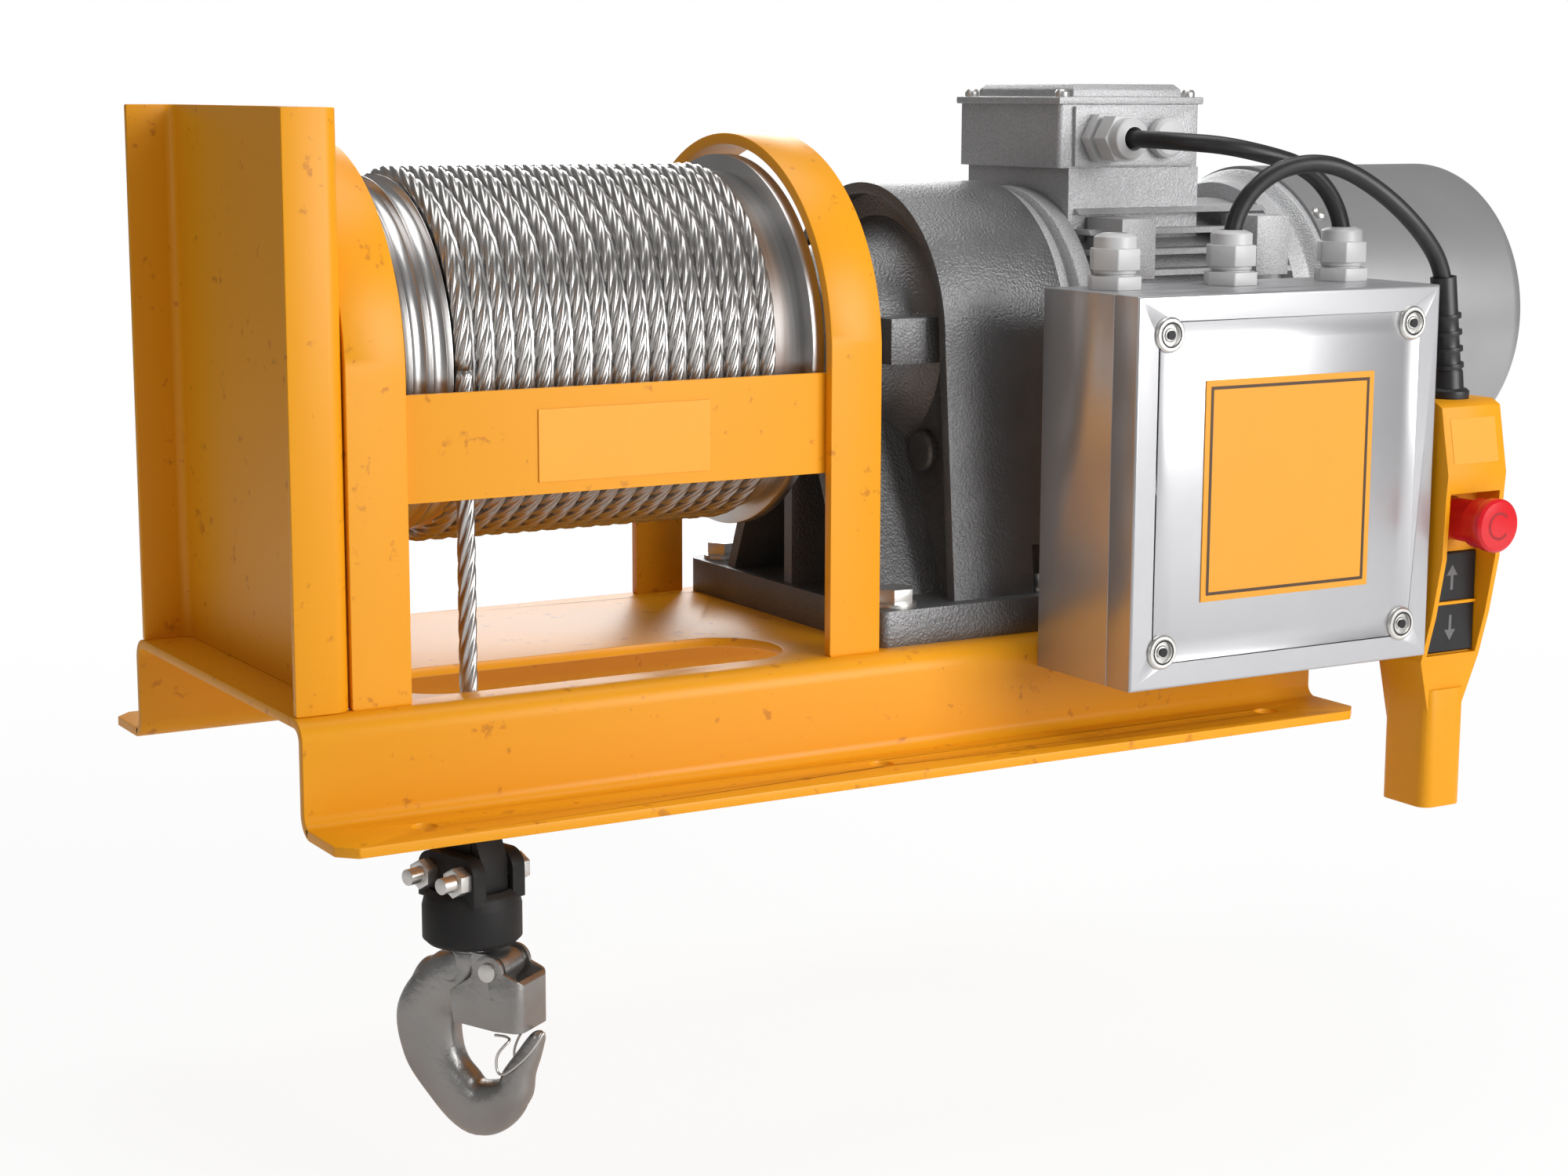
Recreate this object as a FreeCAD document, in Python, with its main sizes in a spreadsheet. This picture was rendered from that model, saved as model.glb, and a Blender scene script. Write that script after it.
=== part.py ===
import FreeCAD, Part
import math
import os
import re
import Sketcher

# Electric wire-rope hoist: a pressed base carries a grooved rope drum, its reduction gearbox, the motor,
# the switch box and a hand pendant. X runs along the drum shaft towards the motor, Y to the rear and Z up.
# The origin is the middle of the base's bolt pattern, on the underside of its flanges. All sizes are in mm.

SIZES = {
    # shared clearances: shaft in its bore, curved faces that pass each other, and bolt in its hole
    "fit_gap": 0.05,
    "part_gap": 0.3,
    "bolt_gap": 0.5,
    # pressed base
    "base_margin": 1,
    "deck_width": 240,
    "base_height": 55,
    "base_plate": 5,
    "base_bend": 6,
    "flange_reach": 45,
    "flange_corner": 9,
    "mount_pitch_x": 250,
    "mount_pitch_y": 285,
    "mount_hole_radius": 6,
    "slot_inset_left": 27,
    "slot_width": 65,
    "slot_inset_right": 9,
    "slot_y": -63.5,
    # drum frame
    "axis_height": 209,
    "channel_gap": 5.5,
    "channel_depth": 28.5,
    "channel_width": 222,
    "channel_height": 277,
    "channel_plate": 4,
    "channel_bend": 5,
    "hoop_radius": 109,
    "hoop_plate": 6,
    "hoop_width": 30,
    "hoop_lap": 2.5,
    "panel_height": 51,
    "panel_low": 149,
    "panel_plate": 3,
    "panel_lap": 15,
    # drum and rope
    "drum_space": 32,
    "drum_length": 257,
    "drum_radius": 89.5,
    "drum_wall": 9,
    "drum_end_plate": 7,
    "drum_end_radius": 98,
    "groove_pitch": 10.4,
    "bare_grooves": 5,
    "rope_diameter": 9,
    "rope_start": 62,
    "hub_radius": 34,
    "hub_length": 34,
    "axle_radius": 17.5,
    "axle_flange_radius": 45,
    "axle_flange": 3.5,
    "axle_length": 44,
    # gearbox
    "gearbox_x": 24,
    "gearbox_length": 129,
    "foot_width": 207,
    "foot_thickness": 19,
    "nose_length": 52,
    "recess_depth": 10,
    "housing_radius": 82,
    "housing_wall": 8,
    "housing_flare": 94,
    "boss_root_radius": 54,
    "boss_tip_radius": 45,
    "foot_bolt_inset": 16,
    "foot_bolt_pitch_x": 100,
    "foot_bolt_pitch_y": 180,
    "foot_bolt_radius": 6,
    "shaft_radius": 17.5,
    "shaft_bearing_radius": 36,
    "shaft_bearing_width": 17,
    "gear_offset": 63,
    "fast_module": 1.5,
    "fast_pinion_teeth": 11,
    "fast_gear_teeth": 73,
    "fast_width": 14,
    "slow_module": 2,
    "slow_pinion_teeth": 12,
    "slow_gear_teeth": 51,
    "slow_width": 20,
    "gear_side_space": 3,
    "gear_space": 4,
    "lay_shaft_radius": 8.5,
    "lay_bearing_radius": 17.5,
    "lay_bearing_width": 8,
    "cover_thickness": 12,
    # motor
    "front_shield_length": 25,
    "frame_length": 140,
    "frame_radius": 70,
    "frame_wall": 6,
    "fin_radius": 84,
    "fin_thickness": 3,
    "fin_pitch": 11,
    "shield_radius": 79,
    "stator_bore": 40,
    "rotor_length": 100,
    "motor_shaft_radius": 12.5,
    "motor_bearing_radius": 26,
    "motor_bearing_width": 15,
    "rear_shield_length": 22,
    "cowl_length": 149,
    "cowl_radius": 88,
    "cowl_sheet": 1.5,
    "cowl_rim": 12,
    "fan_radius": 72,
    "box_set_back": 41.5,
    "box_length": 96.5,
    "box_width": 97.2,
    "box_seat_z": 298.6,
    "box_height": 34.4,
    "box_wall": 4,
    "box_lid": 11,
    "gland_radius": 10,
    # switch box
    "case_x": 211.5,
    "case_low": 40,
    "case_width": 200,
    "case_height": 200,
    "case_depth": 60,
    "case_lid": 20,
    "case_sheet": 2,
    "lock_inset": 19.5,
    "lock_radius": 9,
    "cable_gland_pitch": 76,
    "cable_gland_y": -148,
    "bracket_x": 219.5,
    "bracket_length": 124,
    "bracket_height": 150,
    "bracket_foot": 42,
    "bracket_plate": 3,
    "cable_radius": 4.75,
    # pendant
    "pendant_gap": 4.5,
    "pendant_width": 42,
    "pendant_front": -194,
    "pendant_depth": 36,
    "pendant_low": -48,
    "pendant_top": 177,
    "grip_width": 29,
    "pendant_recess_width": 35.6,
    "button_width": 35,
    "button_height": 27,
    "button_travel": 3,
    "stop_height": 112,
    "stop_radius": 14.5,
    "stop_stem_radius": 11.5,
    "stop_travel": 4,
    "boot_lean": 7,
    "boot_length": 66,
    "cable_entry": 20,
    # hook block
    "block_turn": 18,
    "hook_turn": -56,
    "bell_low": -70,
    "bell_height": 27.4,
    "bell_radius": 24.5,
    "bell_wall": 5,
    "ear_gap": 17.6,
    "ear_plate": 8,
    "ear_width": 40,
    "ear_top": -24,
    "socket_top": -8,
    "block_bolt_radius": 4,
    "block_bolt_spread": 12,
    "shank_radius": 10,
    "nut_radius": 15,
    "latch_width": 28,
    "latch_sheet": 2,
    "latch_pivot_out": 17,
    "latch_pivot_z": -81,
    "latch_pin_radius": 3.5,
}

# Sizes that follow from the others, in the order in which they are worked out
DERIVED = {
    "drum_left_x": "gearbox_x - drum_space - drum_length",
    "channel_face_x": "drum_left_x - channel_gap",
    "right_hoop_x": "drum_left_x + drum_length - hoop_lap",
    "base_length": "2 * (channel_depth + base_margin - channel_face_x)",
    "slot_length": "drum_length - slot_inset_left - slot_inset_right",
    "slot_x": "drum_left_x + slot_inset_left + slot_length / 2",
    "rope_fall_x": "drum_left_x + rope_start",
    "rope_turns": "floor((drum_length - rope_start - drum_end_plate - rope_diameter) / groove_pitch)",
    "rim_x": "gearbox_x + nose_length",
    "slow_gear_x": "rim_x + recess_depth + housing_wall + gear_side_space",
    "foot_bolt_x": "gearbox_x + foot_bolt_inset",
    "frame_x": "gearbox_x + gearbox_length + front_shield_length",
    "cowl_x": "frame_x + frame_length + rear_shield_length",
    "box_x": "frame_x + box_set_back",
    "pendant_x": "case_x + case_width / 2 + pendant_gap + pendant_width / 2",
}

doc = FreeCAD.newDocument("wire_rope_hoist")
sheet = doc.addObject("Spreadsheet::Sheet", "Sizes")
for row, (alias, amount) in enumerate(SIZES.items(), start=1):
    sheet.set(f"A{row}", alias)
    sheet.set(f"B{row}", str(amount))
    sheet.setAlias(f"B{row}", alias)
doc.recompute()
for row, (alias, formula) in enumerate(DERIVED.items(), start=len(SIZES) + 2):
    sheet.set(f"A{row}", alias)
    sheet.set(f"B{row}", "=" + formula)
    sheet.setAlias(f"B{row}", alias)
    doc.recompute()

parts = []

# Places and sizes that several pieces share, each as an expression in the sheet's words
AXIS = "axis_height"
DRUM_RIGHT = "(drum_left_x + drum_length)"
ROPE = "(rope_diameter / 2)"
FALL_Y = "(-drum_radius)"
DECK = "base_height"
FOOT_TOP = "(base_height + foot_thickness)"
GEARBOX_END = "(gearbox_x + gearbox_length)"
WALL_X = "(rim_x + recess_depth)"
CAVITY_X = f"({WALL_X} + housing_wall)"
FAST_X = "(slow_gear_x + slow_width + gear_space)"
LAY_Z = "(axis_height - gear_offset)"
COVER_X = f"({GEARBOX_END} - cover_thickness)"
FRAME_END = "(frame_x + frame_length)"
COWL_END = "(cowl_x + cowl_length)"
CASE_BACK = "(-deck_width / 2)"
CASE_SEAM = f"({CASE_BACK} - case_depth)"
CASE_FRONT = f"({CASE_SEAM} - case_lid)"
CASE_TOP = "(case_low + case_height)"


def cell(text):
    """The expression with each size's name turned into its cell of the sheet."""
    known = SIZES.keys() | DERIVED.keys()
    return re.sub(r"[a-z]\w*", lambda word: "Sizes." + word[0] if word[0] in known else word[0], str(text))


def value(text):
    """The number that an expression gives."""
    return float(sheet.evalExpression(cell(text)))


def bind(thing, **properties):
    """Tie properties of an object to expressions; a double underscore stands for a dot."""
    for name, text in properties.items():
        thing.setExpression(name.replace("__", "."), cell(text))


def place(thing, x="0", y="0", z="0", about=(0, 0, 1), turn=0):
    """Put an object at a point worked out from the sheet, turned about an axis or by a given rotation."""
    at = FreeCAD.Vector(value(x), value(y), value(z))
    spin = turn if isinstance(turn, FreeCAD.Rotation) else FreeCAD.Rotation(FreeCAD.Vector(*about), turn)
    thing.Placement = FreeCAD.Placement(at, spin)
    bind(thing, Placement__Base__x=x, Placement__Base__y=y, Placement__Base__z=z)
    return thing


def keep(thing, label):
    """Name a finished piece and list it for writing."""
    thing.Label = label
    parts.append(thing)
    return thing


def new_body(name):
    return doc.addObject("PartDesign::Body", name + "_body")


def draw(body, plane, outlines=(), circles=(), offset="0"):
    """A sketch on an origin plane. An outline is a ring of corners (x, y); a corner (x, y, cx, cy, way)
    starts an arc about (cx, cy) that runs to the next corner, way 1 counter-clockwise and -1 clockwise."""
    sketch = body.newObject("Sketcher::SketchObject", body.Name.replace("_body", "_sketch"))
    origin_plane = next(item for item in body.Origin.OriginFeatures if item.Role == plane)
    sketch.AttachmentSupport = [(origin_plane, "")]
    sketch.MapMode = "FlatFace"
    sketch.AttachmentOffset = FreeCAD.Placement(FreeCAD.Vector(0, 0, value(offset)), FreeCAD.Rotation())
    bind(sketch, AttachmentOffset__Base__z=offset)
    serial = 0

    def fix(edge, point, way, text):
        nonlocal serial
        serial += 1
        number = sketch.addConstraint(Sketcher.Constraint("Distance" + way, edge, point, value(text)))
        sketch.renameConstraint(number, f"size_{serial}")
        sketch.setExpression(f"Constraints.size_{serial}", cell(text))

    for outline in outlines:
        first = sketch.GeometryCount
        count = len(outline)
        tails = []
        for i, corner in enumerate(outline):
            after = outline[(i + 1) % count]
            start = FreeCAD.Vector(value(corner[0]), value(corner[1]), 0)
            end = FreeCAD.Vector(value(after[0]), value(after[1]), 0)
            if len(corner) == 2:
                sketch.addGeometry(Part.LineSegment(start, end))
                tails.append((1, 2))
                continue
            centre = FreeCAD.Vector(value(corner[2]), value(corner[3]), 0)
            turns = [math.atan2(p.y - centre.y, p.x - centre.x) for p in (start, end)]
            if corner[4] < 0:
                turns.reverse()
            if turns[1] <= turns[0]:
                turns[1] += 2 * math.pi
            circle = Part.Circle(centre, FreeCAD.Vector(0, 0, 1), (start - centre).Length)
            sketch.addGeometry(Part.ArcOfCircle(circle, *turns))
            tails.append((1, 2) if corner[4] > 0 else (2, 1))
        for i, corner in enumerate(outline):
            here, after = first + i, first + (i + 1) % count
            sketch.addConstraint(
                Sketcher.Constraint("Coincident", here, tails[i][1], after, tails[(i + 1) % count][0])
            )
            if len(corner) == 5:
                fix(here, 3, "X", corner[2])
                fix(here, 3, "Y", corner[3])
            before = outline[i - 1]
            if len(before) == 2:
                fix(here, tails[i][0], "X", corner[0])
                fix(here, tails[i][0], "Y", corner[1])
            else:
                across = abs(value(corner[0]) - value(before[2]))
                along = abs(value(corner[1]) - value(before[3]))
                way = "Y" if across > along else "X"
                fix(here, tails[i][0], way, corner[1] if way == "Y" else corner[0])
    for x, y, radius in circles:
        at = FreeCAD.Vector(value(x), value(y), 0)
        edge = sketch.addGeometry(Part.Circle(at, FreeCAD.Vector(0, 0, 1), value(radius)))
        fix(edge, 3, "X", x)
        fix(edge, 3, "Y", y)
        number = sketch.addConstraint(Sketcher.Constraint("Radius", edge, value(radius)))
        sketch.renameConstraint(number, f"radius_{number}")
        sketch.setExpression(f"Constraints.radius_{number}", cell(radius))
    sketch.Visibility = False
    return sketch


def pad(body, sketch, length, middle=False, back=False):
    feature = body.newObject("PartDesign::Pad", "pad")
    feature.Profile = sketch
    feature.Midplane = middle
    feature.Reversed = back
    bind(feature, Length=length)
    doc.recompute()
    return feature


def cut(body, sketch, length=None, middle=True, back=False):
    """Pocket a sketch through the body, or to a depth, and see that it took something away."""
    before = body.Shape.Volume
    feature = body.newObject("PartDesign::Pocket", "pocket")
    feature.Profile = sketch
    feature.Midplane = middle
    feature.Reversed = back
    if length is None:
        feature.Type = "ThroughAll"
    else:
        bind(feature, Length=length)
    doc.recompute()
    if not body.Shape.Volume < before:
        raise ValueError(body.Name + ": a pocket cuts nothing")
    return feature


def turn_up(body, outline):
    """Revolve an outline of (along X, radius) corners about the body's own X axis."""
    feature = body.newObject("PartDesign::Revolution", "revolve")
    sketch = draw(body, "XY_Plane", [outline])
    feature.Profile = sketch
    feature.ReferenceAxis = (sketch, ["H_Axis"])
    feature.Angle = 360
    doc.recompute()
    return feature


def dress(body, kind, radius, wanted):
    """Fillet or chamfer the edges of the body that the test picks."""
    base = body.Tip
    names = [f"Edge{i}" for i, edge in enumerate(base.Shape.Edges, start=1) if wanted(edge)]
    if not names:
        raise ValueError(body.Name + ": no edge to dress")
    feature = body.newObject("PartDesign::" + kind, kind.lower())
    feature.Base = (base, names)
    bind(feature, **{"Radius" if kind == "Fillet" else "Size": radius})
    doc.recompute()
    return feature


def runs_along(edge, axis):
    """Whether an edge is straight and lies along the X, Y or Z axis, 0, 1 or 2."""
    if not isinstance(edge.Curve, Part.Line):
        return False
    return abs(abs(edge.Curve.Direction[axis]) - 1) < 1e-6


def middle_of(edge):
    return edge.BoundBox.Center


def turned(name, outline, x="0", y="0", z="0", about=(0, 0, 1), turn=0):
    """A turned piece: an outline revolved about its own X axis and put in place."""
    body = new_body(name)
    turn_up(body, outline)
    return place(body, x, y, z, about, turn)


def ring(start, length, inner, outer):
    """The outline of a plain ring from start, of a length, between two radii."""
    end = f"{start} + {length}"
    return [(start, inner), (end, inner), (end, outer), (start, outer)]


def box(name, x, y, z, length, width, height):
    """A box from its low corner."""
    item = doc.addObject("Part::Box", name + "_box")
    bind(item, Length=length, Width=width, Height=height)
    return place(item, x, y, z)


def rod(name, radius, length, x="0", y="0", z="0", about=(0, 1, 0), turn=90):
    """A cylinder, along X unless it is turned another way."""
    item = doc.addObject("Part::Cylinder", name + "_rod")
    bind(item, Radius=radius, Height=length)
    return place(item, x, y, z, about, turn)


def hexagon(name, radius, length, x="0", y="0", z="0", about=(0, 0, 1), turn=0):
    """A hexagonal bar, along Z unless it is turned another way."""
    item = doc.addObject("Part::Prism", name + "_hexagon")
    item.Polygon = 6
    bind(item, Circumradius=radius, Height=length)
    return place(item, x, y, z, about, turn)


def join(name, items):
    item = doc.addObject("Part::MultiFuse", name + "_joined")
    item.Shapes = items
    item.Refine = True
    doc.recompute()
    return item


def take(name, base, tool):
    item = doc.addObject("Part::Cut", name + "_cut")
    item.Base = base
    item.Tool = tool
    doc.recompute()
    if not item.Shape.Volume < base.Shape.Volume:
        raise ValueError(name + ": a cut takes nothing")
    return item


def group(name, items):
    """Several separate solids that share one name."""
    item = doc.addObject("Part::Compound", name + "_group")
    item.Links = items
    doc.recompute()
    return item


def hex_screw(name, radius, length, x, y, z, about=(0, 0, 1), turn=0):
    """A hexagon-headed screw whose head stands on (x, y, z) and whose shank points the other way."""
    head = hexagon(name, f"{radius} * 1.85", f"{radius} * 1.25", x, y, z, about, turn)
    shank = rod(name, radius, length, x, y, z, about, turn)
    way = shank.Placement.Rotation.multVec(FreeCAD.Vector(0, 0, 1))
    ends = [f"{start} - ({way[i]:.6f}) * ({length})" for i, start in enumerate((x, y, z))]
    place(shank, *ends, about, turn)
    return join(name, [head, shank])


# Pressed base: a hat section with its crown as the deck, a long slot for the rope and bolt holes in its flanges.
base = new_body("base_frame")
half, drop, out = "deck_width / 2", "base_height - base_plate", "deck_width / 2 + flange_reach"
right_side = [
    (half, "base_height"),
    (half, "base_plate"),
    (out, "base_plate"),
    (out, "0"),
    (f"{half} - base_plate", "0"),
    (f"{half} - base_plate", drop),
]
left_side = [(f"-({y})", z) for y, z in reversed(right_side)]
pad(base, draw(base, "YZ_Plane", [right_side + left_side]), "base_length", middle=True)


def is_bend(inside):
    """A test for the base's long edges on the inside or the outside of its bends."""
    low, high = value("base_plate"), value("base_height")
    wall, deck = value(half), value(drop)
    spots = {
        True: [(wall, low), (wall - low, deck)],
        False: [(wall, high), (wall - low, 0)],
    }[inside]

    def test(edge):
        at = middle_of(edge)
        return runs_along(edge, 0) and any(
            abs(abs(at.y) - y) < 0.01 and abs(at.z - z) < 0.01 for y, z in spots
        )

    return test


dress(base, "Fillet", "base_bend", is_bend(True))
dress(base, "Fillet", "base_bend + base_plate", is_bend(False))
dress(
    base,
    "Chamfer",
    "flange_corner",
    lambda edge: runs_along(edge, 2) and abs(middle_of(edge).y) > value(out) - 0.01,
)
slot_run = "(slot_length - slot_width) / 2"
slot_top, slot_bottom = "slot_y + slot_width / 2", "slot_y - slot_width / 2"
slot = [
    (f"slot_x + {slot_run}", slot_bottom, f"slot_x + {slot_run}", "slot_y", 1),
    (f"slot_x + {slot_run}", slot_top),
    (f"slot_x - {slot_run}", slot_top, f"slot_x - {slot_run}", "slot_y", 1),
    (f"slot_x - {slot_run}", slot_bottom),
]
cut(base, draw(base, "XY_Plane", [slot]))
flange_holes = [
    (f"{i} * mount_pitch_x", f"{side} * mount_pitch_y / 2", "mount_hole_radius")
    for i in (-1, 0, 1)
    for side in (-1, 1)
]
FOOT_BOLTS = [
    (f"(foot_bolt_x + {i} * foot_bolt_pitch_x)", f"({side} * foot_bolt_pitch_y / 2)")
    for i in (0, 1)
    for side in (-1, 1)
]
deck_holes = [(x, y, "foot_bolt_radius + bolt_gap") for x, y in FOOT_BOLTS]
BRACKET_SCREW_Y = f"({CASE_BACK} + bracket_foot - 12)"
BRACKET_SCREWS = [f"(bracket_x + {side} * (bracket_length / 2 - 18))" for side in (-1, 1)]
BRACKET_SCREW = 4
deck_holes += [(x, BRACKET_SCREW_Y, f"{BRACKET_SCREW} + bolt_gap") for x in BRACKET_SCREWS]
cut(base, draw(base, "XY_Plane", circles=flange_holes + deck_holes))
keep(base, "base_frame")

# Channel upright at the drum's free end: a bent channel, open to the left, whose web carries the stub axle.
channel = new_body("bearing_channel")
web, lip = "channel_face_x", "channel_face_x - channel_depth"
side, inside = "channel_width / 2", "channel_width / 2 - channel_plate"
channel_outline = [
    (web, f"-({side})"),
    (web, side),
    (lip, side),
    (lip, inside),
    (f"{web} - channel_plate", inside),
    (f"{web} - channel_plate", f"-({inside})"),
    (lip, f"-({inside})"),
    (lip, f"-({side})"),
]
pad(channel, draw(channel, "XY_Plane", [channel_outline], offset=DECK), "channel_height")
dress(
    channel,
    "Fillet",
    "channel_bend",
    lambda edge: runs_along(edge, 2)
    and abs(middle_of(edge).x - value("channel_face_x - channel_plate")) < 0.01,
)
dress(
    channel,
    "Fillet",
    "channel_bend + channel_plate",
    lambda edge: runs_along(edge, 2) and abs(middle_of(edge).x - value(web)) < 0.01,
)
keep(channel, "bearing_channel")


# Two hoops of flat bar bent over the drum, welded to the deck by their feet.
def hoop(name, start):
    body = new_body(name)
    inner = "(hoop_radius - hoop_plate)"
    outline = [
        ("hoop_radius", DECK),
        ("hoop_radius", AXIS, "0", AXIS, 1),
        ("-hoop_radius", AXIS),
        ("-hoop_radius", DECK),
        (f"-{inner}", DECK),
        (f"-{inner}", AXIS, "0", AXIS, -1),
        (inner, AXIS),
        (inner, DECK),
    ]
    pad(body, draw(body, "YZ_Plane", [outline], offset=start), "hoop_width")
    return keep(body, name)


hoop("left_hoop", "channel_face_x")
hoop("right_hoop", "right_hoop_x")

# Front panel: a plate that runs behind the front legs of both hoops and ties them together.
panel = new_body("front_panel")
panel_left = "channel_face_x + hoop_width - panel_lap"
panel_right = "right_hoop_x + panel_lap"
panel_top = "panel_low + panel_height"
panel_outline = [
    (panel_left, "panel_low"),
    (panel_right, "panel_low"),
    (panel_right, panel_top),
    (panel_left, panel_top),
]
pad(panel, draw(panel, "XZ_Plane", [panel_outline], offset="hoop_radius - hoop_plate - panel_plate"), "panel_plate")
keep(panel, "front_panel")

# Stub axle: a flanged spindle welded to the channel's web, on which the drum's free end runs.
axle = [
    ("0", "0"),
    ("axle_length", "0"),
    ("axle_length", "axle_radius - 2"),
    ("axle_length - 2", "axle_radius"),
    ("axle_flange", "axle_radius"),
    ("axle_flange", "axle_flange_radius"),
    ("0", "axle_flange_radius"),
]
keep(turned("stub_axle", axle, "channel_face_x", z=AXIS), "stub_axle")

# Rope drum: a tube with rope grooves, closed at each end by a flanged disc with a hub.
groove_depth, groove_lip = ROPE, f"({ROPE} + part_gap)"
bore = "(drum_radius - drum_wall)"
drum_start = "drum_left_x + drum_end_plate"
drum_outline = [
    (drum_start, bore),
    (f"{DRUM_RIGHT} - drum_end_plate", bore),
    (f"{DRUM_RIGHT} - drum_end_plate", "drum_radius"),
]
for number in range(SIZES["bare_grooves"]):
    centre = f"(rope_fall_x - {number} * groove_pitch)"
    for out, up in ((1.06, 0), (0.78, 0.74), (0.3, 1), (-0.3, 1), (-0.78, 0.74), (-1.06, 0)):
        drum_outline.append((f"{centre} + {out} * {groove_lip}", f"drum_radius - {up} * {groove_lip}"))
drum_outline.append((drum_start, "drum_radius"))
keep(turned("drum_shell", drum_outline, z=AXIS), "drum_shell")

hub_bore = "(axle_radius + 14)"
left_end = [
    ("drum_left_x", f"{hub_bore} - 6"),
    ("drum_left_x + 5", f"{hub_bore} - 6"),
    ("drum_left_x + 5", hub_bore),
    ("drum_left_x + hub_length", hub_bore),
    ("drum_left_x + hub_length", "hub_radius + 6"),
    ("drum_left_x + drum_end_plate + 6", "hub_radius + 10"),
    ("drum_left_x + drum_end_plate + 6", f"{bore} - fit_gap"),
    ("drum_left_x + drum_end_plate", f"{bore} - fit_gap"),
    ("drum_left_x + drum_end_plate", "drum_end_radius"),
    ("drum_left_x", "drum_end_radius"),
]
keep(turned("drum_end_left", left_end, z=AXIS), "drum_end_left")

shaft_bore = "(shaft_radius + fit_gap)"
right_end = [
    (DRUM_RIGHT, shaft_bore),
    (DRUM_RIGHT, "drum_end_radius"),
    (f"{DRUM_RIGHT} - drum_end_plate", "drum_end_radius"),
    (f"{DRUM_RIGHT} - drum_end_plate", f"{bore} - fit_gap"),
    (f"{DRUM_RIGHT} - drum_end_plate - 6", f"{bore} - fit_gap"),
    (f"{DRUM_RIGHT} - drum_end_plate - 6", "hub_radius + 4"),
    (f"{DRUM_RIGHT} - drum_end_plate - 10", "hub_radius"),
    (f"{DRUM_RIGHT} - hub_length - 10", "hub_radius"),
    (f"{DRUM_RIGHT} - hub_length - 10", shaft_bore),
]
keep(turned("drum_end_right", right_end, z=AXIS), "drum_end_right")

# Sealed ball bearing between the stub axle and the drum's left hub.
bearing_start = "drum_left_x + 5"
keep(
    turned(
        "drum_bearing",
        ring(bearing_start, "hub_length - 12", "axle_radius + fit_gap", f"{hub_bore} - fit_gap"),
        z=AXIS,
    ),
    "drum_bearing",
)

# Rope on the drum, as the sleeve that its turns fill.
pack_start = f"rope_fall_x + {ROPE} + part_gap"
keep(
    turned(
        "rope_wraps",
        ring(pack_start, "rope_turns * groove_pitch", "drum_radius + fit_gap", f"drum_radius + {ROPE}"),
        z=AXIS,
    ),
    "rope_wraps",
)

# Rope anchor: two saddles screwed to the right flange over the rope's end.
clamps = []
for number, spread in enumerate((-1, 1)):
    saddle = box(
        f"rope_anchor_{number}", DRUM_RIGHT, f"{spread} * 14 - 9", "axis_height + drum_radius - 27.5", "7", "18", "26"
    )
    screws = [
        hex_screw(
            f"anchor_screw_{number}_{row}",
            "3",
            "6",
            f"{DRUM_RIGHT} + 7",
            f"{spread} * 14",
            f"axis_height + drum_radius - {drop}",
            (0, 1, 0),
            90,
        )
        for row, drop in enumerate((21.5, 7.5))
    ]
    clamps.append(join(f"rope_anchor_{number}", [saddle] + screws))
keep(group("rope_anchor", clamps), "rope_anchor")

# Output shaft of the gearbox: its outer end drives the drum's right hub, its inner end carries the slow gear.
collar = "(shaft_radius + 5)"
front_bearing, rear_bearing = "gearbox_x + 6", f"{CAVITY_X} - shaft_bearing_width - 2"
output = [
    (f"{DRUM_RIGHT} - hub_length - 16", "0"),
    ("slow_gear_x + slow_width + 1", "0"),
    ("slow_gear_x + slow_width + 1", "shaft_radius"),
    (rear_bearing, "shaft_radius"),
    (rear_bearing, collar),
    (f"{front_bearing} + shaft_bearing_width", collar),
    (f"{front_bearing} + shaft_bearing_width", "shaft_radius"),
    (f"{DRUM_RIGHT} - hub_length - 14", "shaft_radius"),
    (f"{DRUM_RIGHT} - hub_length - 16", "shaft_radius - 2"),
]
keep(turned("output_shaft", output, z=AXIS), "output_shaft")

bearings = [
    turned(
        f"output_bearing_{number}",
        ring(start, "shaft_bearing_width", "shaft_radius + fit_gap", "shaft_bearing_radius"),
        z=AXIS,
    )
    for number, start in enumerate((front_bearing, rear_bearing))
]
keep(group("output_bearings", bearings), "output_bearings")

# Gearbox casting, drawn about the shaft: a foot, a horseshoe housing open towards the motor, and on the drum
# side a recessed wall with a ribbed bearing boss.
casting = new_body("gearbox_housing")
place(casting, z=AXIS)
DECK_DOWN, FOOT_DOWN = f"({DECK} - {AXIS})", f"({FOOT_TOP} - {AXIS})"
half_foot = "foot_width / 2"
foot_outline = [
    ("gearbox_x", f"-({half_foot})"),
    (GEARBOX_END, f"-({half_foot})"),
    (GEARBOX_END, half_foot),
    ("gearbox_x", half_foot),
]
pad(casting, draw(casting, "XY_Plane", [foot_outline], offset=DECK_DOWN), "foot_thickness")
dress(casting, "Fillet", "6", lambda edge: runs_along(edge, 2))


def horseshoe(radius, flare, low):
    """The housing's outline across the shaft: a half circle about it and straight sides down to a half width."""
    return [(flare, low), (radius, "0", "0", "0", 1), (f"-({radius})", "0"), (f"-({flare})", low)]


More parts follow.
